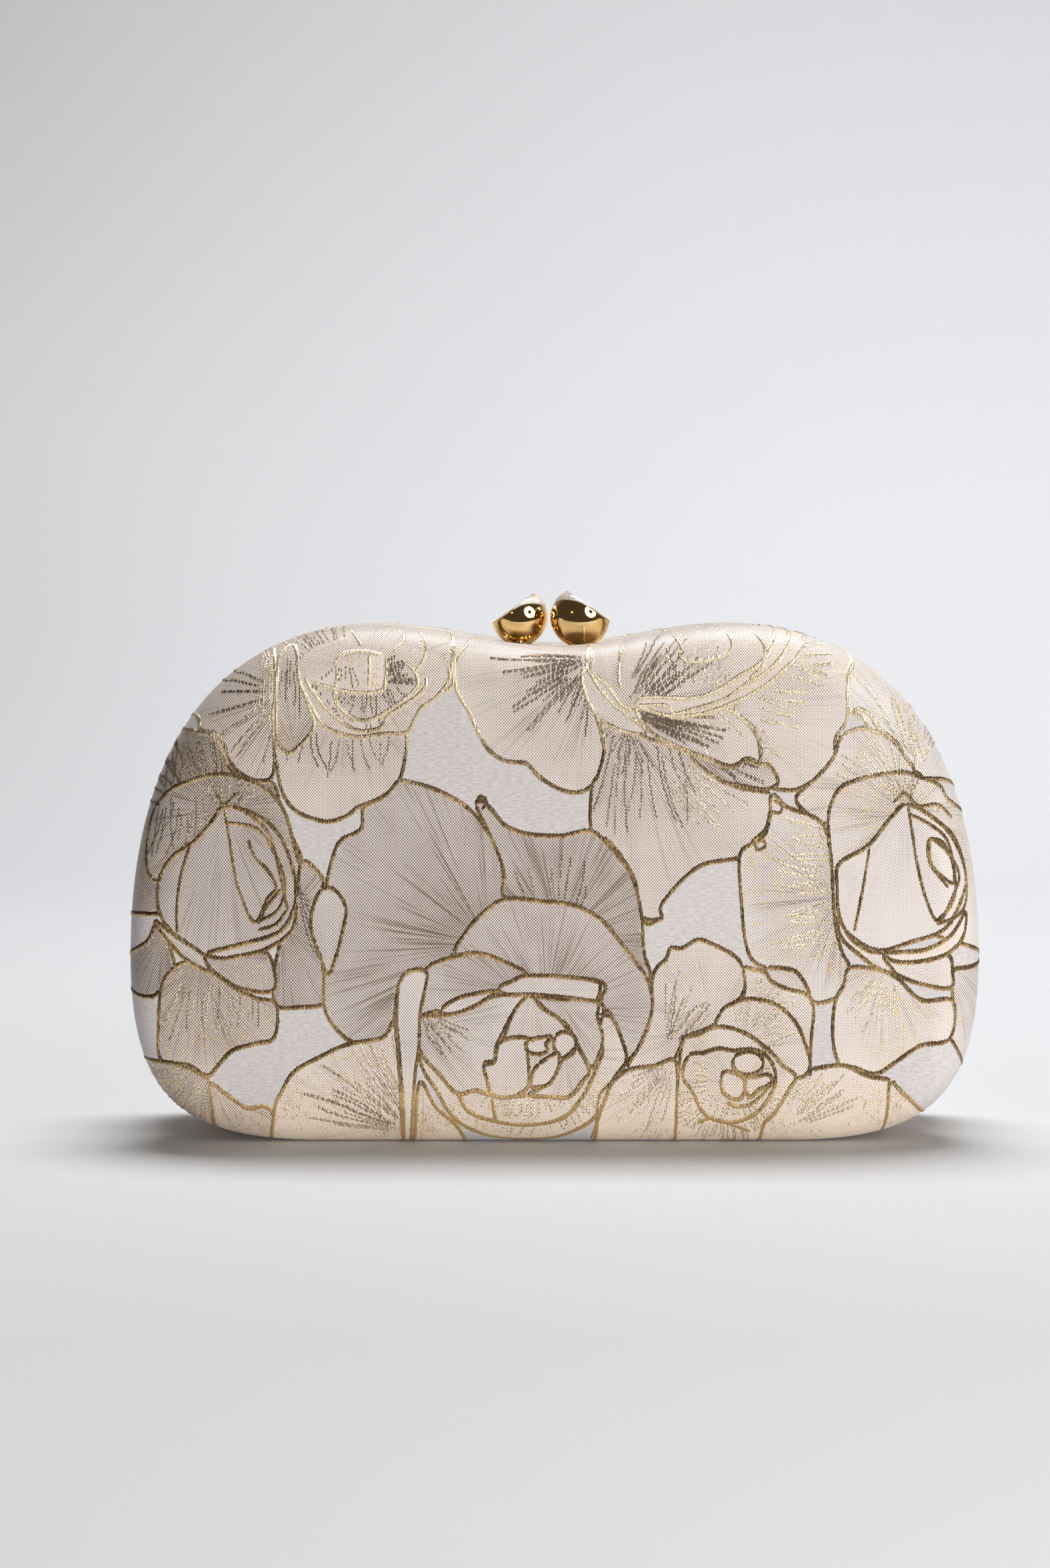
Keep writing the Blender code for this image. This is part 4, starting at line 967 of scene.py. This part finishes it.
def ball(name, knob, look):
    """A polished ball with one flat facet whose edge is slightly rounded."""
    radius, cut = knob["r"], knob["cut"]
    rim = math.asin(cut / radius)
    profile = [(-radius, 0.02)]
    for angle in np.linspace(-math.pi / 2 + 0.06, rim - 0.05, 44):
        profile.append((radius * math.sin(angle), radius * math.cos(angle)))
    edge = math.sqrt(radius**2 - cut**2)
    profile += [(cut - 0.05, edge - 0.02), (cut - 0.01, edge - 0.16), (cut, edge - 0.4), (cut, edge / 2),
                (cut, 0.02)]
    return turned(name, profile, facet_of(knob), knob["ball"], look, sides=96)


def post(name, which, knob, look):
    """A post that rises from a round foot and leans over the seam into the ball."""
    foot = np.array(joints[which + "_knob_flex"]["pos_m"]) / MM
    way = np.array(knob["ball"]) - foot
    length = np.linalg.norm(way)
    way /= length
    sides = 48
    level = rings_of(sides, (1, 0, 0), (0, 1, 0))
    leaning = rings_of(sides, (1, 0, 0), (0, way[2], -way[1]))
    foot_profile = ((-0.22, 0.02), (-0.22, 1.25), (-0.14, 1.34), (0.12, 1.34), (0.22, 1.24), (0.25, 1.05))
    rows = [foot + level * r + (0, 0, z) for z, r in foot_profile]
    inside_ball, waist = 1.2, 0.06
    for share in (0.12, 0.3, 0.6, 1.0):
        reach = (length - knob["r"] + inside_ball) * share
        rows.append(foot + way * reach + leaning * (1.0 - waist * math.sin(share * math.pi)))
    rows.append(rows[-1] * 0.02 + rows[-1].mean(axis=0) * 0.98)
    faces = band_faces(sides, len(rows)) + end_caps(sides, len(rows))
    return add_mesh(name, np.vstack(rows), faces, look)


def film(name, knob, look):
    """Thin clear film on a facet, wrapped over its upper edge onto the ball, with a loose lower tab."""
    ball_radius, cut = knob["r"], knob["cut"]
    radius = math.sqrt(ball_radius**2 - cut**2)
    rim_angle = math.acos(cut / ball_radius)
    overhang, tab_half, tab_reach = 0.35, 1.7, 2.6
    thickness = 0.06
    facet = np.array(facet_of(knob))
    slope = np.array((facet[2], 0.0, -facet[0]))
    if slope[2] < 0:
        slope = -slope
    centre = np.array(knob["ball"])
    middle = centre + facet * (cut + 0.06)
    turns = np.linspace(0.0, math.tau, 120, endpoint=False)
    upper = np.maximum(np.cos(turns), 0.0)
    edge = radius + overhang + knob["wrap"] * upper**2.5
    with np.errstate(divide="ignore"):
        tab = np.minimum(tab_half / np.abs(np.sin(turns)), (radius + tab_reach) / np.abs(np.cos(turns)))
    edge = np.where(np.cos(turns) < 0, np.maximum(edge, tab), edge)
    around = np.outer(np.cos(turns), slope) + np.outer(np.sin(turns), np.cross(facet, slope))
    rows = []
    for share in (0.02, 0.3, 0.55, 0.7, 0.8, 0.88, 0.94, 1.0):
        out = edge * share
        past = np.maximum(out - radius, 0.0)
        curl = knob["curl"] * np.where(upper > 0, 0.0, past) ** 2
        level = middle + around * out[:, None] + np.outer(curl, facet)
        angle = (rim_angle + past / ball_radius)[:, None]
        wrapped = centre + (facet * np.cos(angle) + around * np.sin(angle)) * (ball_radius + 0.09)
        rows.append(np.where(((upper > 0) & (past > 0))[:, None], wrapped, level))
    for row in rows[::-1]:
        outward = row - centre
        rows.append(row + outward / np.linalg.norm(outward, axis=1)[:, None] * thickness)
    faces = band_faces(len(turns), len(rows), flip=True)
    faces += [cap[::-1] for cap in end_caps(len(turns), len(rows))]
    return add_mesh(name, np.vstack(rows), faces, look)


POCKET_LOW, POCKET_HIGH = (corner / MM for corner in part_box("pocket_panel"))
POCKET_CLOTH = 0.4


def pocket_depth(x, z):
    """Depth of the pocket's cloth: sewn down at its sides and bottom, slack along its top edge."""
    low, high = POCKET_LOW, POCKET_HIGH
    sewn = high.y - 0.5
    rise = (z - low.z) / (high.z - low.z)
    return sewn - (sewn - low.y) * rise**1.5 * (1 - (x / high.x) ** 2)


def pocket_panel(name, look):
    """The pocket's cloth, with round lower corners and a slight ripple towards its top edge."""
    low, high = POCKET_LOW, POCKET_HIGH
    columns, rows = 61, 31
    corner = 5.0
    grid = []
    for z in np.linspace(low.z, high.z, rows):
        drop = max(corner - (z - low.z), 0.0)
        half = high.x - corner + math.sqrt(max(corner**2 - drop**2, 0.0))
        for x in np.linspace(-half, half, columns):
            ripple = 0.12 * math.sin(x * 0.33) * math.sin((z - low.z) * 0.11)
            grid.append((x, pocket_depth(x, z) + ripple * (z - low.z) / (high.z - low.z), z))
    near = np.array(grid)
    far = near + (0, POCKET_CLOTH, 0)
    faces = band_faces(columns, rows, closed=False)
    faces += band_faces(columns, rows, columns * rows, closed=False, flip=True)
    border = list(range(columns)) + [columns * (r + 1) - 1 for r in range(1, rows)]
    border += [columns * (rows - 1) + c for c in range(columns - 2, -1, -1)]
    border += [columns * r for r in range(rows - 2, 0, -1)]
    shift = columns * rows
    for a, b in zip(border, border[1:] + border[:1]):
        faces.append((b, a, a + shift, b + shift))
    points = np.vstack((near, far))
    made = add_mesh(name, points, faces, look)
    set_values(made, "weave", points[:, (0, 2)])
    return made


def pocket_binding(name, look):
    """A folded satin strip over the pocket's top edge."""
    low, high = (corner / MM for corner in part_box("pocket_binding"))
    top = POCKET_HIGH.z
    section = smooth_line((
        (-0.65, -3.3), (-0.72, -0.6), (-0.5, 0.42), (0.2, 0.68), (0.9, 0.42), (1.12, -0.6), (1.05, -3.3),
        (0.75, -3.35), (0.72, -0.6), (0.55, 0.1), (0.2, 0.25), (-0.15, 0.1), (-0.36, -0.6), (-0.35, -3.35),
    ), 3, closed=True)
    count = 90
    rows = []
    for x in np.linspace(low.x, high.x, count):
        y = pocket_depth(x, top)
        rows.append(np.column_stack((np.full(len(section), x), y + section[:, 0], top + section[:, 1])))
    faces = band_faces(len(section), count, flip=True)
    faces += [cap[::-1] for cap in end_caps(len(section), count)]
    points = np.vstack(rows)
    made = add_mesh(name, points, faces, look)
    set_values(made, "weave", points[:, (0, 2)])
    return made


STITCH, STITCH_GAP = 1.5, 0.8
STITCH_RADIUS = 0.16
STITCH_RISE = (0.0, -0.08, 0.0)
# A stitch's thickness along it: (share of its length, share of its radius).
STITCH_SHAPE = ((0.0, 0.25), (0.15, 0.85), (0.5, 1.0), (0.85, 0.85), (1.0, 0.25))


def stitches(name, route, look):
    """A row of short sewing stitches along a route of points in millimetres."""
    steps = np.linalg.norm(np.diff(route, axis=0), axis=1)
    along = np.concatenate(((0.0,), np.cumsum(steps)))
    points, faces = [], []
    sides = 6
    for start in np.arange(0.4, along[-1] - STITCH, STITCH + STITCH_GAP):
        first = len(points) * sides
        places = [start + STITCH * share for share, _size in STITCH_SHAPE]
        middles = np.column_stack([np.interp(places, along, route[:, k]) for k in range(3)])
        way = (middles[-1] - middles[0]) / np.linalg.norm(middles[-1] - middles[0])
        across = np.cross(way, (0.0, 1.0, 0.0))
        across /= np.linalg.norm(across)
        circle = rings_of(sides, across, np.cross(way, across))
        for middle, (_share, size) in zip(middles, STITCH_SHAPE):
            points.append(middle + np.array(STITCH_RISE) + circle * STITCH_RADIUS * size)
        faces += band_faces(sides, len(STITCH_SHAPE), first)
        faces += end_caps(sides, len(STITCH_SHAPE), first)
    return add_mesh(name, np.vstack(points), faces, look)


# ---------------------------------------------------------------- materials

class Net:
    """A material's node tree, written as expressions."""

    def __init__(self, name):
        self.material = bpy.data.materials.new(name)
        self.material.use_nodes = True
        self.tree = self.material.node_tree
        self.shader = self.tree.nodes["Principled BSDF"]

    def put(self, socket, value):
        if isinstance(value, bpy.types.NodeSocket):
            self.tree.links.new(value, socket)
        elif hasattr(value, "__len__") and socket.type == "RGBA":
            socket.default_value = (*value, 1.0)
        else:
            socket.default_value = value

    def add(self, kind, settings=None, **inputs):
        node = self.tree.nodes.new("ShaderNode" + kind)
        for key, value in (settings or {}).items():
            setattr(node, key, value)
        for key, value in inputs.items():
            self.put(node.inputs[key], value)
        return node

    def math(self, operation, *values):
        node = self.add("Math", {"operation": operation})
        for socket, value in zip(node.inputs, values):
            self.put(socket, value)
        return node.outputs[0]

    def times(self, a, b):
        return self.math("MULTIPLY", a, b)

    def plus(self, a, b):
        return self.math("ADD", a, b)

    def line(self, value, slope, start):
        """The value times slope, plus start."""
        return self.math("MULTIPLY_ADD", value, slope, start)

    def wave(self, value, pitch):
        """A cosine that comes round again after each pitch."""
        return self.math("COSINE", self.times(value, math.tau / pitch))

    def step(self, value, low, high):
        """A smooth rise from 0 at low to 1 at high."""
        node = self.add("MapRange", {"interpolation_type": "SMOOTHSTEP"}, Value=value)
        self.put(node.inputs["From Min"], low)
        self.put(node.inputs["From Max"], high)
        return node.outputs["Result"]

    def mix(self, share, a, b):
        """A colour between a and b."""
        node = self.add("Mix", {"data_type": "RGBA"})
        self.put(node.inputs[0], share)
        self.put(node.inputs[6], a)
        self.put(node.inputs[7], b)
        return node.outputs[2]

    def values(self, name):
        """The three parts of a vector attribute."""
        attribute = self.add("Attribute", {"attribute_name": name})
        return self.add("SeparateXYZ", Vector=attribute.outputs["Vector"]).outputs[:3]

    def value(self, name):
        return self.add("Attribute", {"attribute_name": name}).outputs["Fac"]

    def vector(self, x, y, z=0.0):
        return self.add("CombineXYZ", X=x, Y=y, Z=z).outputs[0]

    def noise(self, vector, scale, detail=2.0):
        return self.add("TexNoise", Vector=vector, Scale=scale, Detail=detail).outputs["Fac"]

    def stretched_noise(self, x, y, x_scale, y_scale, detail):
        return self.noise(self.vector(self.times(x, x_scale), self.times(y, y_scale)), 1.0, detail)

    def place(self):
        return self.add("TexCoord").outputs["Object"]

    def bump(self, height, distance, strength=1.0):
        node = self.add("Bump", Height=height, Distance=distance, Strength=strength)
        self.put(self.shader.inputs["Normal"], node.outputs[0])

    def finish(self, **inputs):
        for key, value in inputs.items():
            self.put(self.shader.inputs[key.replace("_", " ")], value)
        return self.material


DOT_PITCH = 0.63  # across, between neighbouring dots of the petals' honeycomb weave
DOT_ROW = 0.37
RIB_PITCH = 0.3  # of the ground's fine satin ribs
FLOAT_PITCH = 0.32  # of the outline thread's upright floats
WEFT_PITCH = 0.26  # of the lining's fine lines


def jacquard():
    """Honeycomb petals with fanning streaks on a fine satin ground."""
    dark_thread = (0.155, 0.108, 0.075)
    cool_petal, warm_petal, table_glow_petal = (0.69, 0.645, 0.63), (0.76, 0.665, 0.60), (0.92, 0.77, 0.60)
    ground_dark, ground_light = (0.46, 0.425, 0.415), (0.61, 0.58, 0.575)
    gold_fleck = (0.93, 0.70, 0.36)
    net = Net("jacquard")
    u, v, _none = net.values("weave")
    angle, radius, strength = net.values("fan")
    is_petal, dark, warm = net.values("tint")
    gilt = net.value("glint")
    dots = net.line(net.times(net.wave(u, DOT_PITCH), net.wave(v, 2 * DOT_ROW)), 0.5, 0.5)
    rays = net.step(net.stretched_noise(angle, radius, 30.0, 0.025, 1.0), 0.48, 0.64)
    broad_rays = net.step(net.stretched_noise(angle, radius, 5.0, 0.05, 1.0), 0.34, 0.62)
    streak = net.times(net.times(rays, broad_rays), strength)
    cloth = net.vector(u, v)
    patchy = net.noise(cloth, 0.07, 3.0)
    grain = net.noise(cloth, 1.7, 2.0)
    low = net.step(v, 24.0, -4.0)  # grows towards the bag's foot, where the petals get a painted warm reflection of the table
    level = net.line(streak, 0.42, net.times(dark, 0.9))
    level = net.line(strength, 0.2, level)
    level = net.plus(level, net.line(patchy, 0.3, -0.15))
    level = net.plus(level, net.line(grain, 0.22, -0.11))
    # Fewer dark dots towards the foot: painted light reflected from the table.
    level = net.line(low, -0.14, level)
    mask = net.step(dots, net.math("SUBTRACT", level, 0.24), net.plus(level, 0.24))
    # Peach towards the foot: painted warm reflection of the table.
    light = net.mix(net.times(low, 0.8), net.mix(warm, cool_petal, warm_petal), table_glow_petal)
    petal_colour = net.mix(mask, dark_thread, light)
    rib = net.wave(u, RIB_PITCH)
    slub = net.stretched_noise(u, v, 0.7, 2.6, 3.0)
    ground = net.mix(net.step(net.line(rib, 0.12, slub), 0.3, 0.7), ground_dark, ground_light)
    colour = net.mix(is_petal, ground, petal_colour)
    cells = net.add("TexVoronoi", Vector=net.vector(net.times(u, 3.6), net.times(v, 1.3)), Scale=1.0)
    chance = net.add("SeparateColor", Color=cells.outputs["Color"]).outputs[0]
    limit = net.line(net.times(gilt, net.step(patchy, 0.4, 0.62)), -0.2, 1.0)
    spark = net.times(net.math("GREATER_THAN", chance, limit), is_petal)
    colour = net.mix(net.times(spark, 0.8), colour, gold_fleck)
    net.bump(net.plus(net.times(mask, is_petal), net.times(rib, 0.12)), 0.09 * MM, 0.6)
    metal = net.line(net.math("SUBTRACT", 1.0, mask), 0.3, 0.04)
    metal = net.plus(metal, net.times(spark, 0.6))
    return net.finish(
        Base_Color=colour, Metallic=net.times(metal, is_petal), Roughness=net.line(slub, 0.15, 0.34),
        Sheen_Weight=0.2, Sheen_Roughness=0.4, Specular_IOR_Level=0.5,
    )


def gold_thread():
    """Short upright floats: dark brown metal thread with a painted golden reflection along its lower edge,
    and brighter strokes.
    """
    outline_dark, outline_gold, outline_top_highlight = (0.10, 0.06, 0.03), (0.78, 0.55, 0.26), (0.90, 0.76, 0.54)
    stroke_dark, stroke_light = (0.23, 0.165, 0.115), (0.92, 0.80, 0.58)
    net = Net("gold_thread")
    u, v, _none = net.values("weave")
    tone, rise, _none = net.values("tone")
    floats = net.wave(u, FLOAT_PITCH)
    jitter = net.stretched_noise(u, v, 3.0, 1.1, 2.0)
    patch = net.noise(net.vector(u, v), 0.16, 2.0)
    # Lighter along each outline's lower edge: painted reflection.
    level = net.line(rise, -0.26, net.line(floats, 0.14, jitter))
    level = net.plus(level, net.line(patch, 0.7, -0.35))
    # Brighter towards the foot: painted reflection of the table. Brighter and paler over the top: painted
    # highlight.
    level = net.line(net.step(v, 22.0, 2.0), 0.5, level)
    level = net.line(net.step(v, 84.0, 106.0), 0.42, level)
    outline_light = net.mix(net.step(v, 70.0, 106.0), outline_gold, outline_top_highlight)
    outline_colour = net.mix(net.step(level, 0.44, 0.8), outline_dark, outline_light)
    stroke_level = net.plus(net.line(floats, 0.12, jitter), net.math("SUBTRACT", tone, 0.5))
    stroke_colour = net.mix(net.step(stroke_level, 0.25, 0.75), stroke_dark, stroke_light)
    is_stroke = net.math("GREATER_THAN", tone, OUTLINE_TONE / 2)
    net.bump(level, 0.2 * MM, 0.8)
    return net.finish(Base_Color=net.mix(is_stroke, outline_colour, stroke_colour), Metallic=0.8,
                      Roughness=net.line(jitter, 0.25, 0.2))


def satin():
    """Champagne satin with fine weft lines and soft creases, with painted shade in the creases."""
    crease_shade, fold_light, glow = (0.50, 0.39, 0.28), (0.64, 0.51, 0.38), (0.72, 0.60, 0.46)
    net = Net("lining_satin")
    u, v, _none = net.values("weave")
    creases = net.stretched_noise(u, v, 0.09, 0.035, 4.0)
    grain = net.noise(net.vector(u, v), 2.2, 2.0)
    # Darker down in the creases: painted shade.
    colour = net.mix(net.step(creases, 0.35, 0.65), crease_shade, fold_light)
    net.bump(net.line(net.wave(v, WEFT_PITCH), 0.02, creases), 1.1 * MM, 0.5)
    return net.finish(Base_Color=net.mix(net.times(grain, 0.35), colour, glow),
                      Roughness=net.line(creases, 0.2, 0.27), Sheen_Weight=0.3, Anisotropic=0.5)


def gilt_metal():
    """Light gilt plating, finely brushed, with faint marks."""
    net = Net("gilt_metal")
    place = net.place()
    blotch = net.noise(place, 90.0, 3.0)
    net.bump(net.noise(place, 900.0, 4.0), 0.01 * MM, 0.35)
    return net.finish(Base_Color=net.mix(net.step(blotch, 0.35, 0.7), (0.78, 0.57, 0.29), (0.86, 0.66, 0.37)),
                      Metallic=1.0, Roughness=net.line(blotch, 0.16, 0.14))


def polished_gold():
    """Mirror-polished gold with the faintest handling marks."""
    net = Net("polished_gold")
    place = net.place()
    smear = net.noise(place, 260.0, 3.0)
    net.bump(net.noise(place, 700.0, 2.0), 0.004 * MM, 0.3)
    return net.finish(Base_Color=net.mix(smear, (0.90, 0.62, 0.27), (0.97, 0.72, 0.36)), Metallic=1.0,
                      Roughness=net.line(smear, 0.07, 0.03))


def clear_film():
    """Thin clear film with soft streaks where it has been handled."""
    net = Net("clear_film")
    haze = net.noise(net.place(), 420.0, 3.0)
    return net.finish(Base_Color=(0.93, 0.94, 0.97), Alpha=net.line(net.step(haze, 0.35, 0.65), 0.3, 0.25),
                      Roughness=net.line(haze, 0.2, 0.03), Specular_IOR_Level=0.8)


def grained(name, scale, detail, height, dark, light, **finish):
    """A plain material with a fine grain that shows in its colour and its surface."""
    net = Net(name)
    grain = net.noise(net.place(), scale, detail)
    net.bump(grain, height * MM)
    return net.finish(Base_Color=net.mix(grain, dark, light), **finish)


# ---------------------------------------------------------------- the pieces


def make_halves(looks):
    """Both halves: cover with its gold threads, padding, shell, lining and frame."""
    front = {
        "cover": tray("front_cover_cloth", "cover", looks["jacquard"], 560, 30, 84, woven=True),
        "gold_outline": gold_threads("front_gold_outline", looks["thread"]),
        "gold_strokes": stroke_threads("front_gold_strokes", looks["thread"]),
        "padding": tray("front_padding_sheet", "padding", looks["wadding"], 120, 10, 10),
        "shell": tray("front_shell_board", "shell", looks["shell"], 120, 10, 10),
        "lining": tray("front_lining_cloth", "lining", looks["satin"], 240, 16, 24, inner=(16, 24)),
        "frame": frame_channel("front_frame_channel", looks["gilt"]),
    }
    for side in ("front", "back"):
        made = {}
        for kind, piece in front.items():
            made[kind] = piece if side == "front" else to_back(piece.name.replace("front", "back"), piece)
            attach(made[kind], f"{side}_half")
            if not kind.startswith("gold_"):
                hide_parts(f"{side}_{kind}")


def make_knobs(looks):
    """The kiss lock's balls, posts and films."""
    for which, knob in KNOBS.items():
        made = {
            f"{which}_knob": (ball(f"{which}_knob_ball", knob, looks["gold"]), "polished_gold"),
            f"{which}_knob_post": (post(f"{which}_knob_stem", which, knob, looks["gold"]), "polished_gold"),
            f"{which}_knob_film": (film(f"{which}_knob_foil", knob, looks["film"]), "clear_film"),
        }
        for node, (piece, slot) in made.items():
            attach(piece, f"{which}_knob")
            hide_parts(node)


def make_pocket(looks):
    """The slip pocket on the back half's lining, with its seam and its folded edge."""
    panel = pocket_panel("pocket_cloth", looks["satin"])
    binding = pocket_binding("pocket_edge", looks["satin"])
    low, high = POCKET_LOW, POCKET_HIGH
    inset, corner = 1.6, 6.0
    side = high.x - inset
    path = [(-side, high.z - 4), (-side, low.z + corner), (corner - high.x, low.z + inset),
            (high.x - corner, low.z + inset), (side, low.z + corner), (side, high.z - 4)]
    route = []
    for (xa, za), (xb, zb) in zip(path, path[1:]):
        for t in np.linspace(0, 1, 20, endpoint=False):
            x, z = xa + (xb - xa) * t, za + (zb - za) * t
            route.append((x, pocket_depth(x, z), z))
    seam = stitches("pocket_seam", np.array(route), looks["sewing"])
    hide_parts("pocket_panel")
    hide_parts("pocket_binding")
    for piece in (panel, binding, seam):
        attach(piece, "back_half")


def dress_cad_nodes(looks):
    """The small metal pieces keep their shape and get the gilt finish."""
    for name, node in frame["nodes"].items():
        if "hinge" in name or "clasp" in name:
            node.data.materials.clear()
            node.data.materials.append(looks["gilt"])
            node.data.shade_smooth()
            node.data.set_sharp_from_angle(angle=math.radians(35))


LAMP_WAY = Vector((0.61, -0.65, 0.46)).normalized()
LAMP_AWAY = 1.3
LAMP_PLACE = LAMP_WAY * LAMP_AWAY
LAMP_CAP = 0.17
TABLE_DROP = 0.05  # millimetres that the table lies below the bag
PAPER = ((0.64, 0.65, 0.67), (0.67, 0.68, 0.70))


def stage():
    """A pale table that sweeps up behind the bag, and the dark cap in the middle of the main lamp."""
    front, back, sweep, top, half_width = -0.40, 0.5, 0.45, 2.2, 2200.0
    profile = [(front, -0.03), (front, -0.006), (front + 0.006, 0.0), (-0.2, 0.0), (back, 0.0)]
    profile += [(back + sweep * math.sin(a), sweep - sweep * math.cos(a))
                for a in np.linspace(0.1, math.pi / 2, 14)]
    profile.append((back + sweep, top))
    net = Net("paper")
    look = net.finish(Base_Color=net.mix(net.noise(net.place(), 3.0), *PAPER), Roughness=0.85)
    points = [(x, y / MM, z / MM - TABLE_DROP) for y, z in profile for x in (-half_width, half_width)]
    floor = add_mesh("floor", points, band_faces(2, len(profile), closed=False, flip=True), look)
    cap_look = Net("lamp_cap").finish(Base_Color=(0.02, 0.02, 0.02), Roughness=0.9)
    cap_radius = LAMP_CAP / MM
    cap = turned("lamp_cap", [(-4.0, 0.1), (-4.0, cap_radius), (0.0, cap_radius), (0.0, 0.1)],
                 -LAMP_WAY, LAMP_WAY * (LAMP_AWAY - 0.02) / MM, cap_look, sides=48)


LAMP_WHITE, SOFT_WHITE, CANDLE = (1.0, 0.985, 0.965), (1.0, 0.985, 0.97), (1.0, 0.72, 0.35)

# Each light's name, place, target, size, watts, colour, whether it shows in reflections, whether it lights
# rough surfaces, and its spread in degrees.
LIGHTS = (
    ("lamp", LAMP_PLACE, (0.0, 0.0, 0.06), (1.0, 1.0), 12.0, LAMP_WHITE, True, False, 180),
    ("high_lamp", LAMP_PLACE, (0.0, 0.0, 0.06), (0.5, 0.5), 2.4, LAMP_WHITE, False, True, 180),
    ("front", (0.68, -1.1, 0.07), (0.0, 0.0, 0.05), (0.6, 0.2), 12.0, SOFT_WHITE, False, True, 180),
    ("side_lamp", (0.42, -0.29, 0.2), (0.0, 0.0, 0.06), (0.26, 0.26), 0.2, SOFT_WHITE, False, True, 180),
    ("small_lamp", (-0.75, -1.1, 0.62), (0.0, 0.0, 0.1), (0.14, 0.14), 0.25, CANDLE, True, True, 180),
    ("fill", (0.2, -1.25, 0.06), (0.0, 0.0, 0.03), (0.8, 0.2), 3.0, (1.0, 0.96, 0.92), False, True, 180),
    ("above", (0.05, 0.24, 1.2), (0.0, 0.03, 0.0), (0.9, 0.35), 6.2, (1.0, 1.0, 1.0), True, True, 115),
    ("backdrop", (0.45, 0.3, 1.3), (0.45, 0.95, 0.38), (1.4, 0.5), 3.6, (0.96, 0.97, 1.0), False, True, 100),
)


def aimed(name, data, place, target):
    """An object at a place, whose data looks towards a target."""
    made = bpy.data.objects.new(name, data)
    bpy.context.scene.collection.objects.link(made)
    made.location = place
    made.rotation_euler = (Vector(target) - Vector(place)).to_track_quat("-Z", "Y").to_euler()
    return made


def lights():
    """The lamps, and a dim warm room that the camera sees as pale paper."""
    for name, place, target, size, watts, colour, mirrored, lights_cloth, spread in LIGHTS:
        data = bpy.data.lights.new(name, "AREA")
        data.shape = "ELLIPSE"
        data.size, data.size_y = size
        data.energy = watts
        data.color = colour
        data.spread = math.radians(spread)
        made = aimed(name, data, place, target)
        made.visible_glossy = mirrored
        made.visible_diffuse = lights_cloth
    world = bpy.data.worlds.new("studio")
    bpy.context.scene.world = world
    world.use_nodes = True
    tree = world.node_tree
    room = tree.nodes["Background"]
    room.inputs["Color"].default_value = (0.5, 0.42, 0.34, 1.0)
    room.inputs["Strength"].default_value = 0.12
    seen = tree.nodes.new("ShaderNodeBackground")
    seen.inputs["Color"].default_value = (0.80, 0.81, 0.83, 1.0)
    either = tree.nodes.new("ShaderNodeMixShader")
    ray = tree.nodes.new("ShaderNodeLightPath")
    tree.links.new(ray.outputs["Is Camera Ray"], either.inputs[0])
    tree.links.new(room.outputs[0], either.inputs[1])
    tree.links.new(seen.outputs[0], either.inputs[2])
    tree.links.new(either.outputs[0], tree.nodes["World Output"].inputs["Surface"])
    bpy.context.scene.view_settings.view_transform = "Standard"


SENSOR = 36.0


def camera():
    data = bpy.data.cameras.new("camera")
    data.sensor_fit = "VERTICAL"
    data.sensor_height = SENSOR
    data.lens = SENSOR * VIEW_DISTANCE / VIEW_HEIGHT
    back = Vector((0.0, -math.cos(VIEW_ELEVATION), math.sin(VIEW_ELEVATION)))
    bpy.context.scene.camera = aimed("camera", data, VIEW_AIM + back * VIEW_DISTANCE, VIEW_AIM)


def main():
    looks = {
        "jacquard": jacquard(), "thread": gold_thread(), "satin": satin(), "gilt": gilt_metal(),
        "gold": polished_gold(), "film": clear_film(),
        "wadding": grained("wadding", 1400.0, 5.0, 0.4, (0.74, 0.73, 0.69), (0.9, 0.89, 0.86),
                           Roughness=0.95),
        "shell": grained("shell_board", 800.0, 4.0, 0.1, (0.17, 0.15, 0.13), (0.26, 0.24, 0.21),
                         Roughness=0.7),
        "sewing": grained("sewing_thread", 3000.0, 2.0, 0.05, (0.5, 0.38, 0.24), (0.7, 0.56, 0.38),
                          Roughness=0.5, Sheen_Weight=0.2),
    }
    camera()
    make_halves(looks)
    make_knobs(looks)
    make_pocket(looks)
    dress_cad_nodes(looks)
    stage()
    lights()


main()
